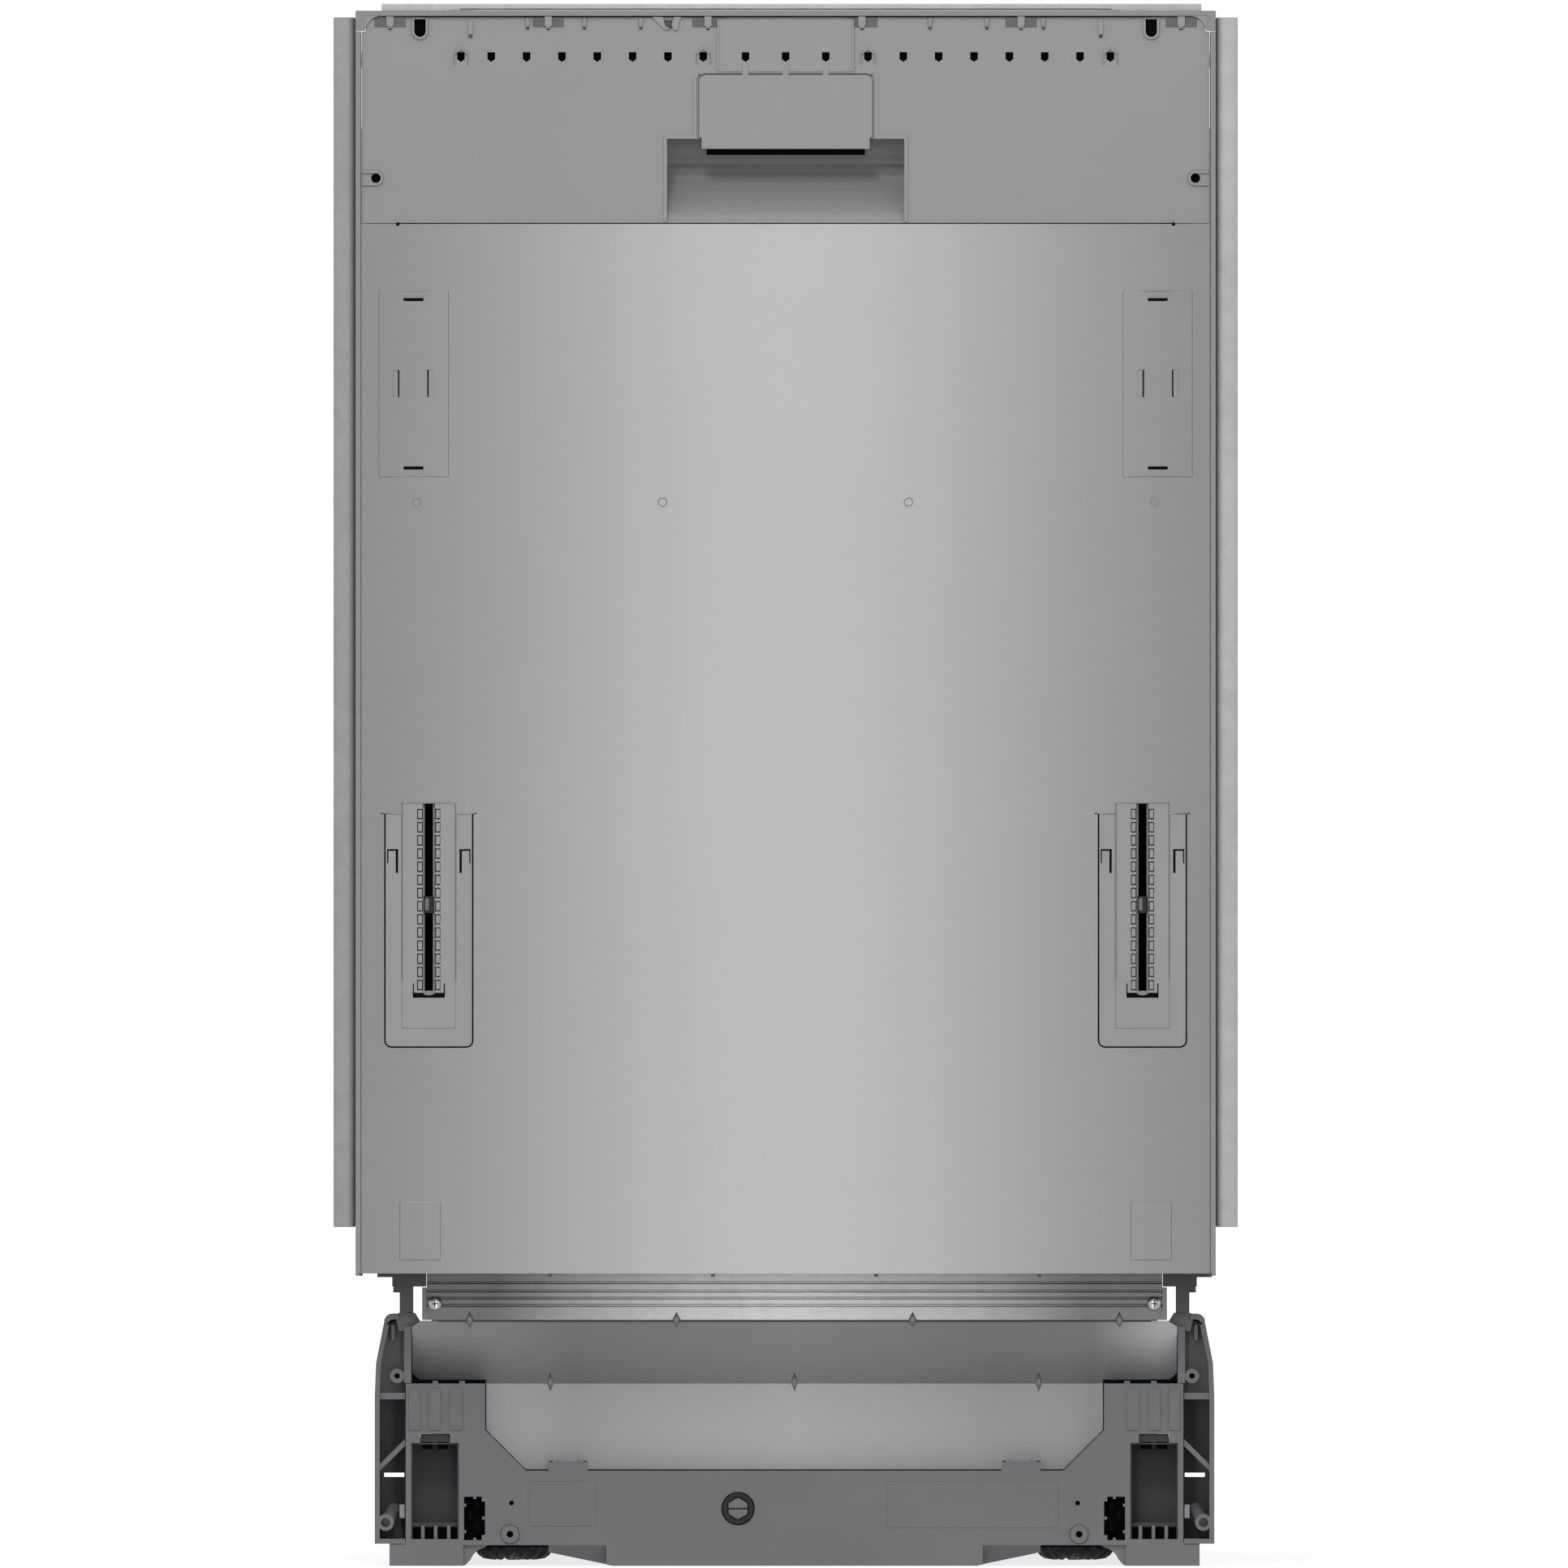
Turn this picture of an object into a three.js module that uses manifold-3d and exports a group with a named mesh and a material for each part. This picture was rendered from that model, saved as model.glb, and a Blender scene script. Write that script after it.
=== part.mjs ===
// A 45 cm built-in dishwasher, as it stands before its furniture door is fitted.
// Millimetres, +Z up, the front is -Y. The origin is on the floor under the middle of the body.
import * as THREE from 'three';
import { mergeVertices } from 'three/addons/utils/BufferGeometryUtils.js';
import Module from 'manifold-3d';

const wasm = await Module();
wasm.setup();

// ---------------------------------------------------------------- driving dimensions
const HEIGHT = 815;
const DEPTH = 550;
const FRONT = -DEPTH / 2;
const BACK = DEPTH / 2;
const GAP = 0.3;             // clearance between pieces that touch
const SHEET = 1.2;           // bent steel
const COVER = 0.8;           // thin outer covers
const WALL = 2.5;            // moulded plastic
const BASE_SHIFT = 4.65;     // the base and hinges sit this far to the right of the door
const BEYOND = 5;            // how far a cutting tool runs past a face

const DOOR = { half: 224, bottom: 151.9, top: 810.7, inside: -235, edge: 3 };
const FACE = FRONT + 0.4;    // flat of the steel front; its pressings stand proud to FRONT
const PIVOT = { y: -240, z: 160, pin: 4, eye: 7.6 };
const FASCIA = { half: 220.7, bottom: 699.9, top: 806.2, face: FRONT + 1.4, wall: 3 };
const VENT = { z: 786.6, half: 2, up: 2.5, down: 1.2, tip: 2.6, pitch: 18.4 };
const GRIP = { half: 61.7, bottom: 700.6, top: 743.9, depth: 27, slotHalf: 41.4, slotBottom: 735.8 };
const HANDLE = { half: 45.2, lowHalf: 43.8, bottom: 738.7, top: 777.3, step: 744.6 };
const RAIL = {
  centre: 185.8, half: 22.9, panelHalf: 13.95, bottom: 271, shoulder: 392.3, top: 397.9,
  slotHalf: 2.05, slotBottom: 300.3, rows: 14, pitch: 6.85, window: 5.5, firstRow: 300.5,
};
const TRIM = { inner: 224.3, bend: 227.9, outer: 235.4, bottom: 177.3, top: 807.2 };

const TUB = { half: 206, top: 802, back: 238, mouth: -233, floor: 158, shoulder: 183, corner: 28 };
const BASE = { front: -222, back: -190, half: 202.9, towerTop: 95.1, towerInner: 161.5, bar: 49.5 };
const SKID = { inner: 173, outer: 211.4, top: 11.2 };
const WING = { outer: 219.1, inner: 203.2, bottom: 11.5, back: -180 };
const TRAY = { half: 200, front: -189.7, floor: 11.5, rim: 60 };
const FOOT = { u: 146.7, y: -165, spindle: 7, top: 85 };
const REAR_FOOT = { y: 235, spindle: 7, top: 82 };
const SHAFT = { u: -29.5, z: 29.9, head: 8.2, r: 4, gear: 9 };
const SUMP = { y: -40, r: 90 };
const SALT = { x: -90, y: 110, r: 30 };
const ARM = { lowReach: 146, highReach: 176, lowY: -10, lowZ: 172, highZ: 419.5 };
const RACK = { half: 188, front: -220, back: 205, bar: 4, low: [200, 325], high: [440, 556] };

// ---------------------------------------------------------------- materials
const paint = (color, roughness, metalness = 0) =>
  new THREE.MeshStandardMaterial({ color, roughness, metalness, flatShading: true });
const MAT = {
  brushedSteel: paint(0xb4b4b4, 0.34, 0.9),
  stainless: paint(0xc4c6c8, 0.28, 1),
  galvanised: paint(0xa9abae, 0.45, 0.8),
  greyPlastic: paint(0x9a9b9d, 0.5),
  palePlastic: paint(0xa9aaac, 0.5),
  basePlastic: paint(0x6b6d71, 0.6),
  darkPlastic: paint(0x2e2f31, 0.55),
  blackPlastic: paint(0x161617, 0.5),
  rubber: paint(0x232324, 0.9),
  whitePlastic: paint(0xdfe0e0, 0.45),
  coatedWire: paint(0x9aa0a6, 0.4),
  motorSteel: paint(0x7c7f83, 0.4, 0.8),
};

// ---------------------------------------------------------------- shape helpers
function signedVolume(p, index) {
  const corner = (i) => new THREE.Vector3(p[3 * i], p[3 * i + 1], p[3 * i + 2]);
  let sum = 0;
  for (let i = 0; i < index.length; i += 3) {
    sum += corner(index[i]).dot(corner(index[i + 1]).cross(corner(index[i + 2])));
  }
  return sum / 6;
}

// Any closed three.js geometry as a manifold solid with its faces pointing out.
function solid(geometry) {
  const bare = geometry.clone();
  bare.deleteAttribute('normal');
  bare.deleteAttribute('uv');
  const merged = mergeVertices(bare, 1e-4);
  const points = merged.attributes.position.array;
  const index = [];
  const source = merged.index.array;
  for (let i = 0; i < source.length; i += 3) {
    const [a, b, c] = source.slice(i, i + 3);
    if (a !== b && b !== c && c !== a) index.push(a, b, c);
  }
  if (signedVolume(points, index) < 0) index.reverse();
  const mesh = new wasm.Mesh({ numProp: 3, vertProperties: points, triVerts: new Uint32Array(index) });
  return new wasm.Manifold(mesh);
}

const join = (first, ...rest) => rest.reduce((sum, next) => sum.add(next), first);
const cut = (body, ...tools) => tools.reduce((left, tool) => left.subtract(tool), body);

function block(x0, x1, y0, y1, z0, z1) {
  const size = new THREE.BoxGeometry(Math.abs(x1 - x0), Math.abs(y1 - y0), Math.abs(z1 - z0));
  return solid(size.translate((x0 + x1) / 2, (y0 + y1) / 2, (z0 + z1) / 2));
}

function extrude(points, depth) {
  const shape = new THREE.Shape(points.map(([a, b]) => new THREE.Vector2(a, b)));
  return new THREE.ExtrudeGeometry(shape, { depth, bevelEnabled: false });
}

// An outline in X and Z, drawn out along Y.
const alongY = (points, y0, y1) => solid(extrude(points, y1 - y0).rotateX(Math.PI / 2).translate(0, y1, 0));
// An outline in X and Y, drawn out along Z.
const alongZ = (points, z0, z1) => solid(extrude(points, z1 - z0).translate(0, 0, z0));
// An outline in Y and Z, drawn out along X.
const YZ_TO_X = new THREE.Matrix4().set(0, 0, 1, 0, 1, 0, 0, 0, 0, 1, 0, 0, 0, 0, 0, 1);
const alongX = (points, x0, x1) => solid(extrude(points, x1 - x0).applyMatrix4(YZ_TO_X).translate(x0, 0, 0));

const TURN = { x: (g) => g.rotateZ(-Math.PI / 2), y: (g) => g, z: (g) => g.rotateX(Math.PI / 2) };
function rod(axis, [x, y, z], r, length, sides = 20, rEnd = r) {
  const bar = TURN[axis](new THREE.CylinderGeometry(rEnd, r, length, sides));
  return solid(bar.translate(x, y, z));
}

// A closed profile of [radius, z] points, turned about a vertical line.
function turned(profile, x, y, sides = 32) {
  const points = profile.map(([r, z]) => new THREE.Vector2(r, z));
  return solid(new THREE.LatheGeometry(points, sides).rotateX(Math.PI / 2).translate(x, y, 0));
}

function arc(cx, cz, r, from, to, steps) {
  const points = [];
  for (let i = 0; i <= steps; i++) {
    const a = THREE.MathUtils.degToRad(from + ((to - from) * i) / steps);
    points.push([cx + r * Math.cos(a), cz + r * Math.sin(a)]);
  }
  return points;
}

const mirror = (points, side) => points.map(([x, z]) => [side * x, z]);
const steps = (from, pitch, count) => Array.from({ length: count }, (_, i) => from + pitch * i);
const SIDES = [['left', -1], ['right', 1]];

function piece(group, name, body, material) {
  const { vertProperties, triVerts } = body.getMesh();
  const geometry = new THREE.BufferGeometry();
  geometry.setAttribute('position', new THREE.BufferAttribute(new Float32Array(vertProperties), 3));
  geometry.setIndex(Array.from(triVerts));
  geometry.computeVertexNormals();
  const mesh = new THREE.Mesh(geometry, material);
  mesh.name = name;
  group.add(mesh);
}

// ---------------------------------------------------------------- door: steel front
// The front has two bracket rails let into it, two pressed fixing panels and small pressings.
function railOutline(grow) {
  const { centre, half, panelHalf, bottom, shoulder, top } = RAIL;
  const inner = centre - half - grow;
  const outer = centre + half + grow;
  const low = bottom - grow;
  const r = 3.4 + grow;
  return [
    ...arc(inner + r, low + r, r, 180, 270, 3), ...arc(outer - r, low + r, r, 270, 360, 3),
    [outer, shoulder + grow], [centre + panelHalf + grow, shoulder + grow],
    [centre + panelHalf + grow, top + grow], [centre - panelHalf - grow, top + grow],
    [centre - panelHalf - grow, shoulder + grow], [inner, shoulder + grow],
  ];
}

function doorOuterSheet() {
  const { half, bottom, edge } = DOOR;
  const sheetTop = FASCIA.bottom - GAP;
  const returnTop = 800;
  const back = DOOR.inside - 2;
  const inner = half - edge;
  const foot = bottom + SHEET;
  let body = join(
    block(-inner, inner, FACE, FACE + SHEET, foot, sheetTop),
    block(-inner, inner, FACE, back, foot, foot + SHEET),
  );
  for (const [, side] of SIDES) {
    const x = side * half;
    const window = mirror(railOutline(GAP), side);
    body = join(
      body,
      block(x, x - side * edge, FACE, FACE + SHEET, bottom, returnTop),
      block(x, x - side * SHEET, FACE, back, bottom, returnTop),
      block(x, side * inner, FACE, back, foot, foot + SHEET),
      block(side * 175.8, side * 211.6, FRONT, FACE + SHEET, 568.1, 664.7),
      block(side * 179.9, side * 200.7, FRONT, FACE + SHEET, 160.4, 190.3),
    );
    body = cut(body, alongY(window, FRONT - BEYOND, FACE + BEYOND));
    for (const z of [572.55, 660.25]) {
      body = cut(body, block(side * 188.6, side * 199, FRONT - BEYOND, FACE + BEYOND, z - 0.85, z + 0.85));
    }
    for (const z of [566, 662]) {
      body = cut(body, block(side * 186, side * 202, FRONT - BEYOND, FACE, z, z + 4.8));
    }
    for (const x0 of [183.2, 201.1]) {
      body = cut(body, block(side * x0, side * (x0 + 3.5), FRONT - BEYOND, FACE + BEYOND, 609.5, 623.7));
    }
    for (const u of [64, 192.1]) {
      body = cut(body, rod('y', [side * u, FACE, 554.8], 2.1, 1, 12));
    }
    body = cut(body, hingeNotch(side));
  }
  return body;
}

// The lower inner corner of the door is open where the fixed hinge bracket reaches the pivot.
function hingeNotch(side) {
  const x = BASE_SHIFT + side * 202.5;
  return block(x - 8, x + 8, PIVOT.y - 14, DOOR.inside + BEYOND, DOOR.bottom - BEYOND, PIVOT.z + 14);
}

// ---------------------------------------------------------------- door: plastic fascia and handle
function gripScoop() {
  const { face } = FASCIA;
  const outline = [[face - BEYOND, GRIP.bottom]];
  for (const t of steps(0, 0.125, 9)) {
    const bend = Math.sin((t * Math.PI) / 2);
    outline.push([face + GRIP.depth * bend ** 1.3, GRIP.bottom + (GRIP.slotBottom - GRIP.bottom) * t]);
  }
  outline.push([face + GRIP.depth, GRIP.top], [face - BEYOND, GRIP.top]);
  return alongX(outline, -GRIP.half, GRIP.half);
}

function ventOutline(x) {
  const { half, up, down, tip, z } = VENT;
  return [[x - half, z + up], [x - half, z - down], [x, z - tip], [x + half, z - down], [x + half, z + up]];
}

const VENT_PLACES = [20.9, ...steps(42.9, VENT.pitch, 7), 169.1];

function doorFascia() {
  const { half, bottom, top, face, wall } = FASCIA;
  const ribBack = face + 28;
  const pocketWall = GRIP.half + WALL;
  let body = join(
    block(-half, half, face, face + wall, bottom, top),
    block(-213, 213, face, ribBack, bottom, bottom + WALL),
    block(-pocketWall, pocketWall, face, face + GRIP.depth + WALL, bottom, GRIP.top + WALL),
    block(-GRIP.slotHalf - WALL, GRIP.slotHalf + WALL, face, face + GRIP.depth + WALL, bottom, 763),
    block(-35.3, 35.3, face - 0.6, face + wall, 779, top),
  );
  for (const [, side] of SIDES) {
    body = join(
      body,
      block(side * half, side * (half - WALL), face, ribBack, bottom, 799.5),
      rod('y', [side * 213.4, face + wall, 723.5], 4.5, 2 * wall, 16),
    );
  }
  body = cut(
    body,
    gripScoop(),
    block(-GRIP.slotHalf, GRIP.slotHalf, face + 6, face + GRIP.depth, GRIP.slotBottom, 760),
    block(-HANDLE.half - GAP, HANDLE.half + GAP, face - 1, face + 1.4, GRIP.top - 1, HANDLE.top + GAP),
  );
  for (const x of [0, ...VENT_PLACES, ...VENT_PLACES.map((place) => -place)]) {
    body = cut(body, alongY(ventOutline(x), face - BEYOND, face + BEYOND));
  }
  for (const [, side] of SIDES) {
    body = cut(
      body,
      block(side * 187.45, side * 193.35, face - BEYOND, face + BEYOND, 799.9, top + BEYOND),
      rod('y', [side * 190.4, face, 799.95], 2.95, 20, 16),
      rod('y', [side * 213.4, face, 723.5], 2.5, 24, 16),
      block(side * 218.4, side * (half + 1), face - BEYOND, ribBack + 1, 799.8, top + BEYOND),
    );
  }
  return body;
}

function handleCover() {
  const { half, lowHalf, bottom, top, step } = HANDLE;
  const back = FASCIA.face + 1.1;
  const r = 3.5;
  const outline = [
    [-lowHalf, bottom], [lowHalf, bottom], [lowHalf, step], [half, step],
    ...arc(half - r, top - r, r, 0, 90, 3), ...arc(-half + r, top - r, r, 90, 180, 3),
    [-half, step], [-lowHalf, step],
  ];
  const lip = block(-GRIP.slotHalf + 1, GRIP.slotHalf - 1, back - 1, back + 6, bottom, bottom + 2.2);
  return join(alongY(outline, FRONT, back), lip);
}

// ---------------------------------------------------------------- door: controls on its top edge
const BUTTON = { half: 7, y: [-262, -252], z: [808.4, 811.1] };
const BUTTONS = [['power_button', -168], ['start_button', 168]];

function controlStrip() {
  const { half, top } = DOOR;
  let body = block(-half, half, FRONT, -238.5, 807.9, top);
  for (const [, side] of SIDES) {
    body = join(body, block(side * 219, side * half, FRONT, FRONT + 7, 800.3, top));
  }
  for (const [, x] of BUTTONS) {
    const [y0, y1] = BUTTON.y;
    body = cut(body, block(x - BUTTON.half - GAP, x + BUTTON.half + GAP, y0 - GAP, y1 + GAP, 800, 820));
  }
  return body;
}

const controlButton = (x) => block(x - BUTTON.half, x + BUTTON.half, ...BUTTON.y, ...BUTTON.z);

// ---------------------------------------------------------------- door: inner side
const DISPENSER = { x: [-92, 82], z: [440, 570], y: [-262, -232], cupX: [-76, 0], cupZ: [500, 556] };
const RINSE = { x: 44, z: 528, r: 17 };
const LOCK = { half: 24, z: [776, 799.5], slotHalf: 14 };

function doorInnerPanel() {
  const half = 215;
  const [z0, z1] = [163, 803];
  const plateFront = DOOR.inside - SHEET;
  let body = join(
    block(-half, half, plateFront, DOOR.inside, z0, z1),
    block(-half, half, -266, DOOR.inside, z1 - SHEET, z1),
    block(-half, half, -250, DOOR.inside, z0, z0 + SHEET),
  );
  for (const [, side] of SIDES) {
    body = join(body, block(side * half, side * (half - SHEET), -266, DOOR.inside, z0, z1));
    body = cut(body, hingeNotch(side));
  }
  const [dx0, dx1] = DISPENSER.x;
  const [dz0, dz1] = DISPENSER.z;
  return cut(
    body,
    block(dx0 - GAP, dx1 + GAP, -250, DOOR.inside + BEYOND, dz0 - GAP, dz1 + GAP),
    block(-LOCK.half - GAP, LOCK.half + GAP, -250, DOOR.inside + BEYOND, LOCK.z[0] - GAP, LOCK.z[1] + GAP),
  );
}

function dispenserBody() {
  const [x0, x1] = DISPENSER.x;
  const [y0, y1] = DISPENSER.y;
  const { cupX, cupZ } = DISPENSER;
  return cut(
    block(x0, x1, y0, y1, ...DISPENSER.z),
    block(...cupX, y0 + 9, y1 + BEYOND, ...cupZ),
    rod('y', [RINSE.x, y1, RINSE.z], RINSE.r - 4, 36, 20),
  );
}

function dispenserLid() {
  const y = DISPENSER.y[1] + GAP;
  const { cupX, cupZ } = DISPENSER;
  const lid = block(cupX[0] - 5, cupX[1] + 5, y, y + 2.4, cupZ[0] - 5, cupZ[1] + 5);
  return join(lid, block(-60, -16, y, y + 5, 546, 550));
}

function rinseAidCap() {
  const y = DISPENSER.y[1] + GAP;
  return join(
    rod('y', [RINSE.x, y + 1.5, RINSE.z], RINSE.r, 3, 28),
    block(RINSE.x - 13, RINSE.x + 13, y, y + 6, RINSE.z - 2, RINSE.z + 2),
  );
}

function doorLock() {
  const { half, z, slotHalf } = LOCK;
  const mouth = block(-slotHalf, slotHalf, -258, DOOR.inside + BEYOND, 783, 794);
  return cut(block(-half, half, -264, DOOR.inside, ...z), mouth);
}

// ---------------------------------------------------------------- door: bracket rails and their clips
function bracketRail(side) {
  const { centre, panelHalf, slotHalf, slotBottom, top } = RAIL;
  const face = FACE + 0.1;
  const back = face + 12;
  const at = (x0, x1, y0, y1, z0, z1) => block(side * x0, side * x1, y0, y1, z0, z1);
  let body = join(
    alongY(mirror(railOutline(0), side), face, face + WALL),
    at(centre - panelHalf, centre + panelHalf, face, back, 279.9, top),
  );
  body = cut(
    body,
    at(centre - slotHalf, centre + slotHalf, face - 1, back + 1, slotBottom, top + 1),
    at(centre - 3.2, centre + 3.2, face - 1, face + 1.8, 297, top + 1),
  );
  for (const z of steps(RAIL.firstRow, RAIL.pitch, RAIL.rows)) {
    for (const x of [centre - 6, centre + 3.2]) {
      body = cut(body, at(x, x + 2.9, face - 1, face + 2, z, z + RAIL.window));
    }
  }
  return body;
}

function railClip(side) {
  const x = side * RAIL.centre;
  const face = FACE + 0.1;
  return join(
    block(x - 2.65, x + 2.65, face + 0.2, face + 1.4, 340.7, 349.6),
    block(x - 1.7, x + 1.7, face + 0.2, face + 11, 342, 348.3),
  );
}

// ---------------------------------------------------------------- hinges, in the base's own frame
function hingeArm(side) {
  const { y, z, eye, pin } = PIVOT;
  const strap = [
    ...arc(y, z, eye, 200, 400, 10), [-247, z + 16], [-247, 300], [-262, 300], [-262, z + 16],
  ];
  const [u0, u1] = [203.4, 206.4];
  const body = alongX(strap, side < 0 ? -u1 : u0, side < 0 ? -u0 : u1);
  return cut(body, rod('x', [side * 205, y, z], pin + 0.4, 12, 20));
}

function hingeBracket(side) {
  const { y, z, eye, pin } = PIVOT;
  const web = [
    ...arc(y, z, eye, 90, 262, 9), [-228.6, 152], [-228.6, 132.3], [-216.8, 132.3], [-216.8, 125.3],
    [-212, 125.3], [-212, z + eye],
  ];
  const [u0, u1] = [199, 202.8];
  const body = alongX(web, side < 0 ? -u1 : u0, side < 0 ? -u0 : u1);
  return join(
    body,
    rod('x', [side * 203.4, y, z], pin, 8, 20),
    block(side * 192.2, side * 209.9, -228.6, -214, 145.8, 153),
    block(side * 209.9, side * 217.7, -228.6, -214, 150.7, 153),
    block(side * 205.9, side * 209.4, -228.6, -222, 142.7, 147.5),
    block(side * 202.8, side * 206, -228.6, -222, 131.9, 147.5),
  );
}

// ---------------------------------------------------------------- tub
function tubOutline(grow, bottom) {
  const half = TUB.half + grow;
  const top = TUB.top + grow;
  const r = TUB.corner + grow;
  return [
    [half, bottom], ...arc(half - r, top - r, r, 0, 90, 5),
    ...arc(-half + r, top - r, r, 90, 180, 5), [-half, bottom],
  ];
}

function tubWrap() {
  const legs = TUB.shoulder + GAP;
  const flange = [[219, legs], [219, 810.5], [-219, 810.5], [-219, legs]];
  const inside = alongY(tubOutline(0, legs - BEYOND), TUB.mouth - BEYOND, TUB.back + BEYOND);
  const outside = alongY(tubOutline(SHEET, legs), TUB.mouth, TUB.back);
  return cut(join(outside, alongY(flange, TUB.mouth, TUB.mouth + SHEET)), inside);
}

function tubFloor() {
  const { floor, shoulder, half } = TUB;
  const [edge, foot] = [168, 150];
  const top = [
    [-half - 2, shoulder], [-edge, shoulder], [-foot, floor + 2],
    [foot, floor + 2], [edge, shoulder], [half + 2, shoulder],
  ];
  const under = top.map(([x, z]) => [x * 1.004, z - 2]).reverse();
  const front = TUB.mouth + 3;
  const riser = block(-edge, edge, front, front + 2, floor, shoulder - 2);
  const pan = join(alongY([...top, ...under], front, TUB.back), riser);
  return cut(
    pan,
    rod('z', [0, SUMP.y, floor], SUMP.r, 20, 32),
    rod('z', [SALT.x, SALT.y, floor], SALT.r + 0.5, 20, 28),
  );
}

const hoop = (inner, outer, bottom, y0, y1) =>
  cut(alongY(tubOutline(outer, bottom), y0, y1), alongY(tubOutline(inner, bottom - 1), y0 - 1, y1 + 1));

function topStrip() {
  const [x0, x1] = [-210.7, 216.8];
  const y = TUB.mouth;
  return join(
    block(x0, x1, y, y + 62, HEIGHT - SHEET, HEIGHT),
    block(x0, x1, y, y + SHEET, 811.2, HEIGHT),
    block(x0, x1, y + 60.5, y + 62, 804.6, HEIGHT),
  );
}

function trimStrip(side) {
  const { inner, bend, outer, bottom, top } = TRIM;
  const face = FRONT + 1.6;
  const outline = [
    [outer, face], [outer, face + SHEET], [bend + 0.4, face + SHEET], [inner + SHEET, face + 2.9],
    [inner + SHEET, -222], [inner, -222], [inner, face + 1.9], [bend, face],
  ];
  return alongZ(mirror(outline, side), bottom, top);
}

function striker() {
  const y = TUB.mouth - GAP;
  return join(
    block(-11, 11, -252, -249.5, 785.5, 791.5),
    block(-11, -8.5, -252, y, 785.5, 791.5),
    block(8.5, 11, -252, y, 785.5, 791.5),
    block(-18, 18, y - SHEET, y, 782, 798),
  );
}

// ---------------------------------------------------------------- base moulding, in its own frame
// Half of the front outline, from the middle of the bottom to the middle of the top,
// drawn in by the given amount.
function frameHalf(inset) {
  const d = inset;
  return [
    [95.2 - d, d], [128.3 - d, 7 + d], [128.3, 10.8 + d], [SKID.inner + d, 10.8 + d], [SKID.inner + d, d],
    [SKID.outer - d, d], [SKID.outer - d, SKID.top - d], [BASE.half - d, SKID.top - d],
    [BASE.half - d, BASE.towerTop - d], [BASE.towerInner + d, BASE.towerTop - d],
    [BASE.towerInner + d, 70.6 - d], [140.2 + d / 2, BASE.bar - d],
  ];
}

const frameOutline = (inset) => [...frameHalf(inset), ...mirror(frameHalf(inset), -1).reverse()];

function baseFrame() {
  const { front, back } = BASE;
  const pocketBack = back - 4;
  let body = cut(
    alongY(frameOutline(0), front, back),
    alongY(frameOutline(WALL), front + WALL, back + BEYOND),
  );
  for (const [, side] of SIDES) {
    const at = (u0, u1, y0, y1, z0, z1) => block(side * u0, side * u1, y0, y1, z0, z1);
    body = join(
      body,
      at(172.8, BASE.half, front, back, SKID.top, 66.4),
      at(108, 128.4, front, front + 4, BASE.bar - 1, 54.3),
      rod('y', [side * 148.5, front, 16.5], 4.7, 3, 20),
    );
    for (const [u0, u1] of [[195.6, 201.1], [184.9, 190.8], [173.6, 179.8]]) {
      body = join(body, at(u0, u1, front - 0.8, front + 1, 71, 92.6));
    }
    body = cut(
      body,
      at(175.2, 200.1, front - BEYOND, pocketBack, 13.9, 64.1),
      at(179.8, 195.4, front - BEYOND, front + 5, 63, 68.9),
      at(163.2, 172.5, front - BEYOND, front + 12, 13.4, 36.1),
      at(161.5, 163.3, front - BEYOND, front + 12, 16, 33.6),
      rod('y', [side * 148.5, front, 16.5], 1.8, 8, 12),
      rod('y', [side * 147.7, front, 32.8], 1.3, 8, 12),
    );
    for (const u of [180.5, 187.3, 194]) {
      body = join(body, at(u - 0.55, u + 0.55, front + 0.5, pocketBack + 1, 13, 20.7));
    }
  }
  return cut(body, rod('y', [SHAFT.u, front, SHAFT.z], SHAFT.head + 0.5, 12, 28));
}

// The front's lower edge slopes back where the underside rises towards the feet.
function slopedUnderside(body) {
  const { front } = BASE;
  const [near, far, edge] = [95.2, 128.3, 10.8];
  const slope = [[front - BEYOND, edge], [front, edge], [front + 12, -1], [front - BEYOND, -1]];
  return SIDES.reduce((left, [, side]) => {
    const filling = alongY(mirror([[near, 0], [far, 7], [far, edge], [near, edge]], side), front, front + 14);
    const outer = side * (far + 1);
    const inner = side * (near + 3);
    return cut(join(left, filling), alongX(slope, Math.min(inner, outer), Math.max(inner, outer)));
  }, body);
}

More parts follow.
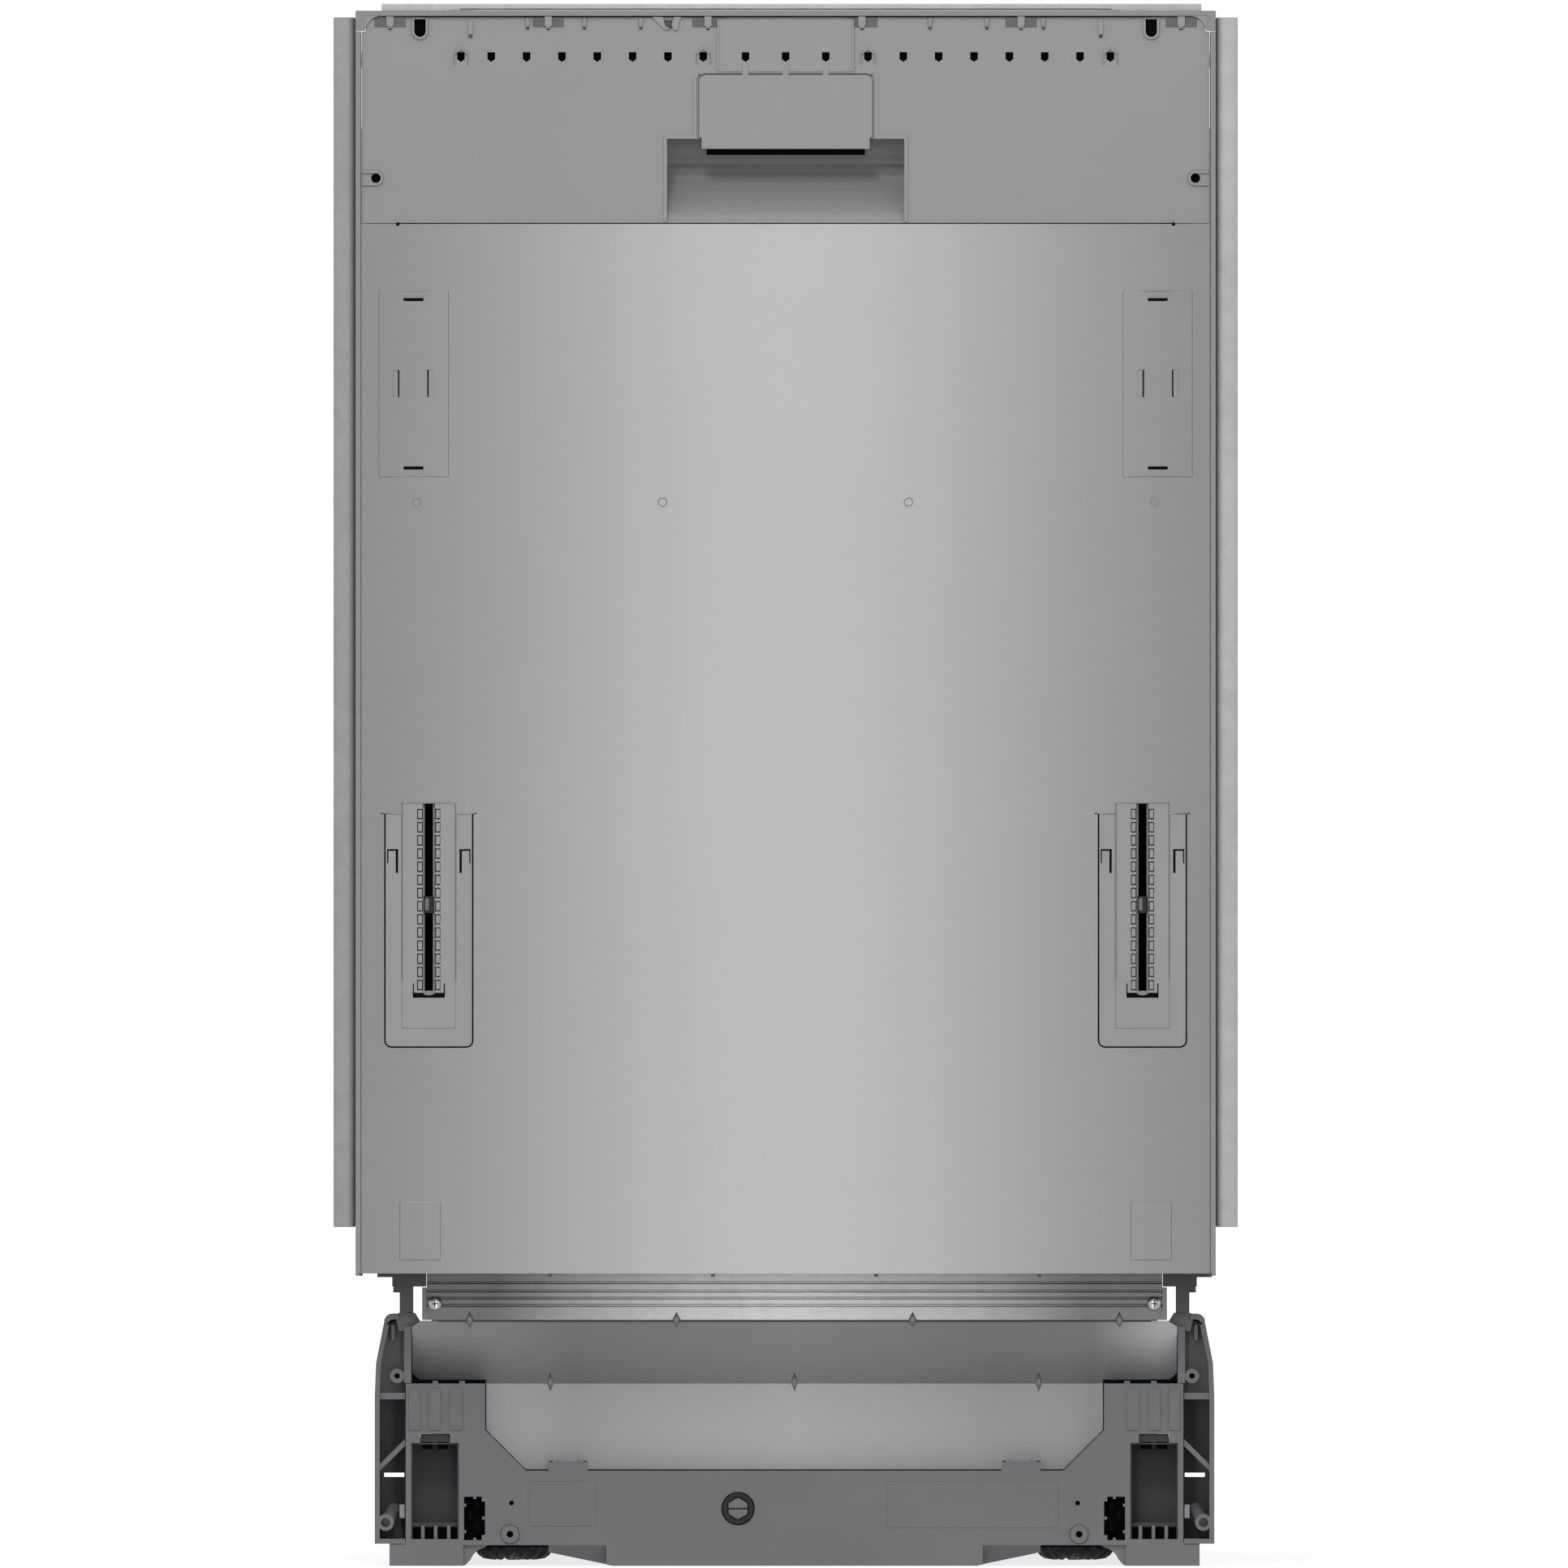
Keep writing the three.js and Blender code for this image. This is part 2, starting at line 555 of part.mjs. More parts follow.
function baseWing(side) {
  const { outer, inner, bottom, back } = WING;
  const { front } = BASE;
  const outline = (d) => [
    [inner, bottom + d], [outer - d, bottom + d], [outer - d, 88.9], [218.4 - d, 105.9],
    [214.2 - d, 127.2 - d / 2], ...arc(210.4 - d / 2, 127.2 - d, 4, 20, 90, 3), [206.6, 131.2 - d],
    [206.6, 124.6], [inner, 121],
  ];
  const room = outline(2.6).map(([u, z]) => [u <= 206.6 ? u - 2 : u, z]);
  let body = cut(
    alongY(mirror(outline(0), side), front, back),
    alongY(mirror(room, side), front - BEYOND, back - WALL),
  );
  const upper = [[inner, 89], [216.8, 89], [216.2, 105.5], [212, 126.5], [206.6, 128.5], [206.6, 124.6],
    [inner, 121]];
  const web = [[206.6, 121], [206.6, 130.6], [199.4, 130.6], [195.4, 127.2], [186, 127.2], [186, 92],
    [inner + 1, 92]];
  // A shield stands in front of the hinge bracket's foot.
  const shield = [[208, 129], [208, 130.8], [206.6, 132], [198, 132], [195.2, 127.4], [195.2, 122.5],
    [206.6, 122.5]];
  const rib = [[inner, 66.2], [216.6, 53], [216.6, 49.4], [inner, 62.6]];
  body = join(
    body,
    alongY(mirror(upper, side), front + 12, back - 1),
    alongY(mirror(web, side), back - WALL, back),
    alongY(mirror(shield, side), front + 2.2, front + 4.6),
    block(side * 200, side * (inner + 0.6), front, back, 95.4, 125),
    block(side * inner, side * 217, front + 2, back - 1, 86.9, 90.3),
    alongY(mirror(rib, side), front + 2, back - 1),
    rod('y', [side * 207.4, (front + back) / 2 - 1, 99.1], 3.7, back - front - 2, 20),
    rod('y', [side * 213.4, (front + back) / 2 - 1, 22.6], 3.9, back - front - 2, 20),
    block(side * 213.4, side * 218, front + 1, back - 1, 21.4, 23.8),
    block(side * inner, side * (inner + 2.6), front + 6, back - 1, 24.8, 32),
  );
  return cut(
    body,
    rod('y', [side * 207.4, front, 99.1], 1.5, 40, 12),
    rod('y', [side * 213.4, front, 22.6], 2.5, 40, 12),
    block(side * 204, side * 214.5, back - 10, back + BEYOND, 45.8, 48),
  );
}

function baseTray() {
  const { half, front, floor, rim } = TRAY;
  let body = cut(
    block(-half, half, front, BACK, floor, rim),
    block(-half + WALL, half - WALL, front + WALL, BACK - WALL, floor + WALL, rim + BEYOND),
  );
  for (const [, side] of SIDES) {
    body = join(
      body,
      block(side * SKID.inner, side * half, front, BACK, 0, floor + 1),
      rod('z', [side * FOOT.u, FOOT.y, 27], 12, 31, 24),
      block(side * 168, side * 190, 196, 232, floor + 1, 156.5),
      block(side * 168, side * 190, -150, -120, floor + 1, 156.5),
    );
    body = cut(body, rod('z', [side * FOOT.u, FOOT.y, 30], FOOT.spindle + 0.5, 60, 20));
  }
  body = join(body, rod('z', [0, REAR_FOOT.y, 30], 14, 37, 24));
  return cut(
    body,
    rod('z', [0, REAR_FOOT.y, 30], REAR_FOOT.spindle + 0.5, 60, 20),
    rod('y', [SHAFT.u, front, SHAFT.z], SHAFT.r + 0.5, 12, 16),
  );
}

// A sheet that follows a path of [y, z] points, as thick as the sheet towards +Y.
const bentSheet = (path, half) =>
  alongX([...path, ...path.map(([y, z]) => [y + SHEET, z]).reverse()], -half, half);

function ribbedCrossmember() {
  const y = -228.6;
  const path = [[y, 128.4]];
  for (const z of [136, 139.8, 143.5, 147.9]) {
    path.push([y, z - 0.75], [y + 1, z - 0.3], [y + 1, z + 0.3], [y, z + 0.75]);
  }
  path.push([y, 153]);
  const half = 191.9;
  const shelf = block(-half, half, y, y + 20, 151.5, 153);
  const proud = y - 0.5;
  const flanges = SIDES.flatMap(([, side]) => [
    block(side * half, side * (half + 2.4), proud, y + SHEET, 128.4, 145.4),
    block(side * (half - 1), side * half, proud, y + SHEET, 128.6, 133),
  ]);
  return join(bentSheet(path, half), shelf, ...flanges);
}

function toePlate() {
  const top = [-227.1, 128];
  const bend = [-200, 94.8];
  const towerInner = BASE.towerInner - GAP;
  const slant = bentSheet([top, bend], 199.7);
  const lower = bentSheet([bend, [bend[0], BASE.bar + 0.4]], towerInner);
  const trimmed = [
    [[towerInner, 90], [towerInner, 96.9], [196, 96.9], [201, 101.5], [201, 90]],
    [[194.3, 130], [194.3, 128.2], [201, 124], [201, 130]],
    [[139.6, 49], [162, 71.4], [162, 49]],
  ];
  const corners = SIDES.flatMap(([, side]) => trimmed.map((outline) =>
    alongY(mirror(outline, side), -230, -190)));
  return cut(join(slant, lower), ...corners);
}

// ---------------------------------------------------------------- feet and the rear adjuster
function frontFoot(side) {
  const x = side * FOOT.u;
  const [low, high] = [2.2, 10.6];
  const profile = [[0, low], [15.6, low], [17, 4.4], [20, 7.2], [20, high], [FOOT.spindle, high],
    [FOOT.spindle, FOOT.top], [0, FOOT.top]];
  let body = turned(profile, x, FOOT.y, 24);
  const notches = 8;
  for (let i = 0; i < notches; i++) {
    const a = (i * 2 * Math.PI) / notches;
    const place = [x + 20.6 * Math.cos(a), FOOT.y + 20.6 * Math.sin(a), 9];
    body = cut(body, rod('z', place, 2.8, 6, 6));
  }
  return body;
}

const rearFoot = () => turned([[0, 1.2], [18, 1.2], [18, 6], [REAR_FOOT.spindle, 9.5],
  [REAR_FOOT.spindle, REAR_FOOT.top], [0, REAR_FOOT.top]], 0, REAR_FOOT.y, 20);

function rearFootShaft() {
  const { u, z, head, r, gear } = SHAFT;
  const y0 = BASE.front - 1;
  const end = 222;
  const body = join(
    rod('y', [u, y0 + 4, z], head, 8, 28),
    rod('y', [u, (y0 + end) / 2, z], r, end - y0, 16),
    rod('y', [u, end - 6, z], gear, 12, 16),
  );
  const hex = rod('y', [u, y0, z], head - 2, 3, 6);
  return join(cut(body, hex), block(u - head + 1.6, u + head - 1.6, y0 + 0.6, y0 + 3, z - 0.9, z + 0.9));
}

// ---------------------------------------------------------------- water and washing
const sump = () => turned([[0, 98], [64, 98], [88, 124], [88, 154.6], [94, 154.6], [94, 151], [91, 151],
  [91, 122.5], [66, 95], [0, 95]], 0, SUMP.y, 24);

const FILTER = { x: 40, y: -66, r: 32 };

function fineFilterPlate() {
  const z = TUB.floor;
  const plate = cut(
    rod('z', [0, SUMP.y, z + 1], SUMP.r - GAP, 2, 32),
    rod('z', [FILTER.x, FILTER.y, z], FILTER.r + 0.5, 20, 24),
  );
  return join(plate, rod('z', [0, ARM.lowY, z + 4.5], 13, 8, 16));
}

function filterCylinder() {
  const { x, y, r } = FILTER;
  const z = TUB.floor;
  const profile = [[0, z - 28], [r, z - 28], [r, z + 5], [r + 3, z + 5], [r + 3, z + 8],
    [r - 3, z + 8], [r - 3, z - 25], [0, z - 25]];
  return join(turned(profile, x, y, 24), block(x - r + 2, x + r - 2, y - 1.5, y + 1.5, z - 26, z + 12));
}

function sprayArm(reach, y, z, twist) {
  const half = [[14, 22], [70, 21], [reach - 14, 15], [reach - 3, 9], [reach, 0],
    [reach - 3, -9], [reach - 14, -15], [70, -19], [14, -22]];
  const blade = [...half, ...half.map(([a, b]) => [-a, -b])];
  const c = Math.cos(twist);
  const s = Math.sin(twist);
  const outline = blade.map(([a, b]) => [c * a - s * b, y + s * a + c * b]);
  return join(alongZ(outline, z, z + 12), rod('z', [0, y, z + 4], 20, 18, 20));
}

function basket(x0, x1, y0, y1, [z0, z1], columns, rows, bar) {
  const inner = [x0 + bar, x1 - bar, y0 + bar, y1 - bar, z0 + bar, z1 + 1];
  let body = cut(block(x0, x1, y0, y1, z0, z1), block(...inner));
  const dx = (x1 - x0 - bar) / columns;
  const dy = (y1 - y0 - bar) / rows;
  const wallZ = [z0 + bar, z1 - bar];
  for (const x of steps(x0 + bar, dx, columns)) {
    for (const y of steps(y0 + bar, dy, rows)) {
      body = cut(body, block(x, x + dx - bar, y, y + dy - bar, z0 - 1, z0 + bar + 1));
    }
    body = cut(body, block(x, x + dx - bar, y0 - 1, y0 + bar + 1, ...wallZ));
    body = cut(body, block(x, x + dx - bar, y1 - bar - 1, y1 + 1, ...wallZ));
  }
  for (const y of steps(y0 + bar, dy, rows)) {
    body = cut(body, block(x0 - 1, x0 + bar + 1, y, y + dy - bar, ...wallZ));
    body = cut(body, block(x1 - bar - 1, x1 + 1, y, y + dy - bar, ...wallZ));
  }
  return body;
}

const CUTLERY = { x: [94, 180], y: [-195, 15], z: [205, 305] };

// A plain tub with a slotted floor.
function cutleryBasket() {
  const { x, y, z } = CUTLERY;
  const room = block(x[0] + WALL, x[1] - WALL, y[0] + WALL, y[1] - WALL, z[0] + WALL, z[1] + BEYOND);
  const slots = steps(y[0] + 20, 45, 4).map((place) =>
    block(x[0] + 12, x[1] - 12, place, place + 30, z[0] - 1, z[0] + BEYOND));
  return cut(block(...x, ...y, ...z), room, ...slots);
}

const WHEEL = { x: [191, 199], r: 13.5, z: TUB.shoulder + GAP + 13.5, y: [-188, 165] };

function lowerRack() {
  const { half, front, back, bar, low } = RACK;
  let body = basket(-half, half, front, back, low, 4, 5, bar);
  for (const [, side] of SIDES) {
    for (const y of WHEEL.y) {
      body = join(
        body,
        block(side * (half - bar), side * (half + 1), y - 8, y + 8, WHEEL.z - 4, low[0] + 20),
        rod('x', [side * (half + 4), y, WHEEL.z], 3, 12, 12),
      );
    }
  }
  return body;
}

function rackWheel(side, y) {
  const [x0, x1] = WHEEL.x;
  const x = (side * (x0 + x1)) / 2;
  return cut(rod('x', [x, y, WHEEL.z], WHEEL.r, x1 - x0, 24), rod('x', [x, y, WHEEL.z], 3.4, 20, 12));
}

const TINES = { x: -62, z: 210, count: 11, pitch: 34, height: 72 };

function tineRow() {
  const { x, z, count, pitch, height } = TINES;
  const first = RACK.front + 38;
  const rail = block(x - 2, x + 2, first - 12, first + pitch * (count - 1) + 12, z - 2, z + 2);
  const tines = steps(first, pitch, count).map((y) => block(x - 1.5, x + 1.5, y - 1.5, y + 1.5, z, z + height));
  return join(rail, ...tines);
}

function upperRack() {
  const { half, front, back, bar, high } = RACK;
  const body = basket(-half, half, front, back - 15, high, 4, 5, bar);
  const slides = SIDES.map(([, side]) =>
    block(side * (half - bar), side * 203, front + 6, back - 20, 502, 516));
  const hub = rod('z', [0, 0, high[0] - 3], 16, 8, 24);
  const bearer = block(-half + 1, half - 1, -12, 12, high[0], high[0] + bar);
  return join(body, ...slides, bearer, hub);
}

// A rail of C section on the tub's side, that the upper rack's slide runs in.
function rackRail(side) {
  const [y0, y1] = [-226, 214];
  const outline = [[205.6, 498], [205.6, 520], [197, 520], [197, 517.5], [203.6, 517.5],
    [203.6, 500.5], [197, 500.5], [197, 498]];
  return alongY(mirror(outline, side), y0, y1);
}

// ---------------------------------------------------------------- working parts in the base
function circulationPump() {
  const [y, z] = [118, 86];
  return join(
    rod('x', [40, y, z], 43, 90, 24),
    rod('x', [-16, y, z], 48, 24, 24),
    rod('x', [-36, y, z], 20, 18, 20),
    block(20, 60, y - 30, y + 30, 24, 60),
  );
}

const drainPump = () => join(
  rod('y', [-120, -92, 60], 24, 52, 28),
  rod('y', [-120, -58, 60], 34, 18, 28),
  rod('y', [-120, -44, 60], 9, 14, 16),
);

function softenerTank() {
  const { x, y, r } = SALT;
  return join(
    block(x - 62, x + 34, y - 55, y + 60, 40, 146),
    rod('z', [x, y, 153.6], r, 15.6, 28),
  );
}

function saltCap() {
  const { x, y, r } = SALT;
  return join(
    rod('z', [x, y, TUB.floor + 7], r + 4, 6, 28),
    block(x - 24, x + 24, y - 2.5, y + 2.5, TUB.floor + 8, TUB.floor + 12.5),
  );
}

const powerSocket = () => cut(
  block(150, 186, 250, 274, 70, 100),
  block(155, 181, 262, 280, 75, 95),
);

// ---------------------------------------------------------------- assembly
const dishwasher = new THREE.Group();
const cabinet = new THREE.Group();
const base = new THREE.Group();
const door = new THREE.Group();
const racks = new THREE.Group();
base.position.x = BASE_SHIFT;
dishwasher.add(cabinet, base, door, racks);

piece(cabinet, 'tub_wrap', tubWrap(), MAT.stainless);
piece(cabinet, 'tub_back', block(-208, 208, TUB.back + GAP, TUB.back + SHEET, TUB.floor, 804), MAT.stainless);
piece(cabinet, 'tub_floor', tubFloor(), MAT.stainless);
piece(cabinet, 'door_gasket', hoop(2.5, 8, TUB.shoulder + 2, -234.6, TUB.mouth - GAP), MAT.rubber);
piece(cabinet, 'rear_cover', block(-221, 221, 262, 262 + COVER, 150, 800), MAT.galvanised);
piece(cabinet, 'top_strip', topStrip(), MAT.galvanised);
piece(cabinet, 'lock_striker', striker(), MAT.motorSteel);
piece(cabinet, 'sump', sump(), MAT.darkPlastic);
piece(cabinet, 'fine_filter_plate', fineFilterPlate(), MAT.stainless);
piece(cabinet, 'filter_cylinder', filterCylinder(), MAT.whitePlastic);
piece(cabinet, 'lower_spray_arm', sprayArm(ARM.lowReach, ARM.lowY, ARM.lowZ, 0.5), MAT.coatedWire);
piece(cabinet, 'salt_cap', saltCap(), MAT.whitePlastic);
piece(cabinet, 'softener_tank', softenerTank(), MAT.whitePlastic);
piece(cabinet, 'circulation_pump', circulationPump(), MAT.motorSteel);
piece(cabinet, 'drain_pump', drainPump(), MAT.darkPlastic);
piece(cabinet, 'power_socket', powerSocket(), MAT.blackPlastic);

piece(base, 'base_frame', slopedUnderside(baseFrame()), MAT.basePlastic);
piece(base, 'base_tray', baseTray(), MAT.basePlastic);
piece(base, 'ribbed_crossmember', ribbedCrossmember(), MAT.galvanised);
piece(base, 'toe_plate', toePlate(), MAT.galvanised);
piece(base, 'rear_foot', rearFoot(), MAT.blackPlastic);
piece(base, 'rear_foot_shaft', rearFootShaft(), MAT.blackPlastic);

piece(door, 'door_outer_sheet', doorOuterSheet(), MAT.brushedSteel);
piece(door, 'door_fascia', doorFascia(), MAT.greyPlastic);
piece(door, 'handle_cover', handleCover(), MAT.greyPlastic);
piece(door, 'control_strip', controlStrip(), MAT.greyPlastic);
piece(door, 'door_inner_panel', doorInnerPanel(), MAT.stainless);
piece(door, 'dispenser_body', dispenserBody(), MAT.palePlastic);
piece(door, 'dispenser_lid', dispenserLid(), MAT.palePlastic);
piece(door, 'rinse_aid_cap', rinseAidCap(), MAT.palePlastic);
piece(door, 'door_lock', doorLock(), MAT.darkPlastic);
for (const [name, x] of BUTTONS) piece(door, name, controlButton(x), MAT.blackPlastic);

for (const [name, side] of SIDES) {
  const [x0, x1] = [side * 220, side * (220 + COVER)];
  piece(cabinet, `side_cover_${name}`, block(x0, x1, -221, 261, 155, 800), MAT.galvanised);
  piece(cabinet, `trim_strip_${name}`, trimStrip(side), MAT.galvanised);
  piece(cabinet, `rack_rail_${name}`, rackRail(side), MAT.stainless);
  piece(base, `base_wing_${name}`, baseWing(side), MAT.basePlastic);
  piece(base, `hinge_bracket_${name}`, hingeBracket(side), MAT.darkPlastic);
  piece(base, `hinge_arm_${name}`, hingeArm(side), MAT.motorSteel);
  piece(base, `front_foot_${name}`, frontFoot(side), MAT.blackPlastic);
  piece(door, `bracket_rail_${name}`, bracketRail(side), MAT.palePlastic);
  piece(door, `rail_clip_${name}`, railClip(side), MAT.darkPlastic);
  piece(racks, `rack_wheel_front_${name}`, rackWheel(side, WHEEL.y[0]), MAT.palePlastic);
  piece(racks, `rack_wheel_rear_${name}`, rackWheel(side, WHEEL.y[1]), MAT.palePlastic);
}

piece(racks, 'lower_rack', lowerRack(), MAT.coatedWire);
piece(racks, 'tine_row', tineRow(), MAT.coatedWire);
piece(racks, 'cutlery_basket', cutleryBasket(), MAT.palePlastic);
piece(racks, 'upper_rack', upperRack(), MAT.coatedWire);
piece(racks, 'upper_spray_arm', sprayArm(ARM.highReach, 0, ARM.highZ, 2.2), MAT.coatedWire);

export default dishwasher;
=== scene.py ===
# A 45 cm built-in dishwasher without its furniture door, on a plain pale studio floor.
# Sizes in this script are millimetres; Shape turns them into metres.
import math

import bmesh
import bpy
from mathutils import Matrix, Vector


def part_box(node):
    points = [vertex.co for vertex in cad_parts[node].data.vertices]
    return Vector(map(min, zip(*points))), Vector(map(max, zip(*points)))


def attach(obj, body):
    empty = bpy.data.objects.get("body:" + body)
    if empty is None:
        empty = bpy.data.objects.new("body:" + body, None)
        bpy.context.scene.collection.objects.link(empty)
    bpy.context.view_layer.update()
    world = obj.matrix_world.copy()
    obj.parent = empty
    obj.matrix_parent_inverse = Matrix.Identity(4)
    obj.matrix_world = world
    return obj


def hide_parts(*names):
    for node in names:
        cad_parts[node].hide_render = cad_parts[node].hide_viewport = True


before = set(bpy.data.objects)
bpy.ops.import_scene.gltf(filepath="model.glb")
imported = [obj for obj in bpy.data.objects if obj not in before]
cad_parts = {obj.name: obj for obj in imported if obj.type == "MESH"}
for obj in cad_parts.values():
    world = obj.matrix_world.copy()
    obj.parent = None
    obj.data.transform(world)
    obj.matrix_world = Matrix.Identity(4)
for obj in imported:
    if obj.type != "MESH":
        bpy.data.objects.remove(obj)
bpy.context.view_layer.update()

MM = 0.001


def span(node):
    """Lowest and highest corner of a CAD node in millimetres."""
    low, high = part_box(node)
    return low / MM, high / MM


# ---------------------------------------------------------------- places taken from the frame
SHEET_LOW, SHEET_HIGH = span("door_outer_sheet")
FACE = SHEET_LOW.y + 0.4                      # flat of the steel front; its pressings stand 0.4 proud
FASCIA_LOW, FASCIA_HIGH = span("door_fascia")
FASCIA_FACE = FASCIA_LOW.y + 0.6              # flat of the fascia; its rims stand 0.6 proud
_, HANDLE_HIGH = span("handle_cover")
STRIP_LOW, STRIP_HIGH = span("control_strip")
INNER_FACE = span("door_inner_panel")[1].y
BASE_LOW, BASE_HIGH = span("base_frame")
BASE_MIDDLE = (BASE_LOW.x + BASE_HIGH.x) / 2  # the base sits a little to the right of the door
BASE_FACE = BASE_HIGH.y - 32                  # the base frame's moulding is 32 deep
CROSS_FACE = span("ribbed_crossmember")[0].y
REAR_FACE = span("rear_cover")[1].y
RACK_LOW, RACK_HIGH = span("lower_rack")
CUP_LOW, CUP_HIGH = span("upper_rack")
SIDES = [("left", -1), ("right", 1)]


# ---------------------------------------------------------------- materials
def wire(owner, source, target):
    owner.node_tree.links.new(source, target)


def add_node(owner, kind, **inputs):
    """Adds a shader node and sets its inputs; From_Min stands for the socket From Min."""
    made = owner.node_tree.nodes.new("ShaderNode" + kind)
    for socket, value in inputs.items():
        made.inputs[socket.replace("_", " ")].default_value = value
    return made


def two_tones(owner, low, dark, high, light):
    """A colour ramp from dark at low to light at high."""
    ramp = add_node(owner, "ValToRGB")
    for element, place, colour in zip(ramp.color_ramp.elements, (low, high), (dark, light)):
        element.position = place
        element.color = (*colour, 1)
    return ramp


def procedural(name, dark, light, roughness, metallic=0.0, patch=9.0, grain=900.0, stretch=(1, 1, 1),
               bump=0.05, rough_swing=0.06, coat=0.0, sheen=0.0, specular=0.5):
    """A surface with slow colour patches, a fine grain in its roughness, and a bump of the same grain."""
    material = bpy.data.materials.new(name)
    material.use_nodes = True
    shader = material.node_tree.nodes["Principled BSDF"]
    shader.inputs["Metallic"].default_value = metallic
    shader.inputs["Coat Weight"].default_value = coat
    shader.inputs["Sheen Weight"].default_value = sheen
    shader.inputs["Specular IOR Level"].default_value = specular
    place = add_node(material, "TexCoord").outputs["Object"]
    scale = add_node(material, "Mapping", Scale=stretch)
    wire(material, place, scale.inputs["Vector"])

    patches = add_node(material, "TexNoise", Scale=patch, Detail=5)
    wire(material, place, patches.inputs["Vector"])
    ramp = two_tones(material, 0.3, dark, 0.7, light)
    wire(material, patches.outputs["Fac"], ramp.inputs["Fac"])
    wire(material, ramp.outputs["Color"], shader.inputs["Base Color"])

    fine = add_node(material, "TexNoise", Scale=grain, Detail=3)
    wire(material, scale.outputs["Vector"], fine.inputs["Vector"])
    swing = add_node(material, "MapRange", To_Min=roughness - rough_swing, To_Max=roughness + rough_swing)
    wire(material, fine.outputs["Fac"], swing.inputs["Value"])
    wire(material, swing.outputs["Result"], shader.inputs["Roughness"])
    relief = add_node(material, "Bump", Strength=bump, Distance=0.0004)
    wire(material, fine.outputs["Fac"], relief.inputs["Height"])
    wire(material, relief.outputs["Normal"], shader.inputs["Normal"])
    return material


def grey(value, tint=0.0):
    """A neutral colour; a positive tint makes it a little bluer."""
    return (value * (1 - tint), value, value * (1 + 1.6 * tint))


def multiply(material, tone, amount):
    """Multiplies a material's colour by a tone, to the given amount."""
    colour = material.node_tree.nodes["Principled BSDF"].inputs["Base Color"]
    blend = add_node(material, "Mix")
    blend.data_type = "RGBA"
    blend.blend_type = "MULTIPLY"
    blend.inputs["Factor"].default_value = amount
    sockets = {socket.identifier: socket for socket in (*blend.inputs, *blend.outputs)}
    wire(material, colour.links[0].from_socket, sockets["A_Color"])
    wire(material, tone, sockets["B_Color"])
    wire(material, sockets["Result_Color"], colour)
    return material


def object_place(material):
    return material.node_tree.nodes["Texture Coordinate"].outputs["Object"]


def spangled(name, value, roughness, metallic=0.85):
    """Zinc-coated sheet: its crystals show as faint flat cells."""
    material = procedural(name, grey(value * 0.97), grey(value * 1.03), roughness, metallic=metallic,
                          grain=700, bump=0.03)
    cells = add_node(material, "TexVoronoi", Scale=160)
    wire(material, object_place(material), cells.inputs["Vector"])
    plain = add_node(material, "RGBToBW")
    wire(material, cells.outputs["Color"], plain.inputs["Color"])
    return multiply(material, plain.outputs["Val"], 0.10)


def shade_ramp(material, axis, stops):
    """Paints light and shade into a material's colour along an object axis: stops are (place in mm, value),
    in order.
    """
    split = add_node(material, "SeparateXYZ")
    wire(material, object_place(material), split.inputs["Vector"])
    low, high = stops[0][0], stops[-1][0]
    reach = add_node(material, "MapRange", From_Min=low * MM, From_Max=high * MM)
    wire(material, split.outputs[axis.upper()], reach.inputs["Value"])
    tones = add_node(material, "ValToRGB")
    ramp = tones.color_ramp.elements
    for where, _ in stops[1:-1]:
        ramp.new((where - low) / (high - low))
    for element, (_, value) in zip(ramp, stops):
        element.color = (value, value, value, 1)
    wire(material, reach.outputs["Result"], tones.inputs["Fac"])
    return multiply(material, tones.outputs["Color"], 1)


def perforated(name, value, pitch):
    """Thin steel with a regular pattern of small round holes."""
    material = procedural(name, grey(value * 0.95), grey(value), 0.3, metallic=1.0, bump=0.03)
    cells = add_node(material, "TexVoronoi", Scale=1 / (pitch * MM), Randomness=0)
    wire(material, object_place(material), cells.inputs["Vector"])
    holes = two_tones(material, 0.26, grey(0.02), 0.32, grey(value))
    wire(material, cells.outputs["Distance"], holes.inputs["Fac"])
    wire(material, holes.outputs["Color"], material.node_tree.nodes["Principled BSDF"].inputs["Base Color"])
    return material


def brushed(name, value, roughness, along="x", metallic=1.0, bump=0.04, rough_swing=0.03):
    """Rolled or brushed steel: long fine lines along one axis."""
    stretch = {"x": (0.02, 1, 1), "z": (1, 1, 0.02)}[along]
    return procedural(name, grey(value * 0.985), grey(value * 1.015), roughness, metallic=metallic,
                      patch=5, grain=1500, stretch=stretch, bump=bump, rough_swing=rough_swing)


def felt(name):
    """Bitumen and cotton felt, soft and speckled."""
    return procedural(name, (0.05, 0.05, 0.052), (0.14, 0.135, 0.13), 0.95, patch=900, grain=1400,
                      bump=0.6, sheen=0.3)


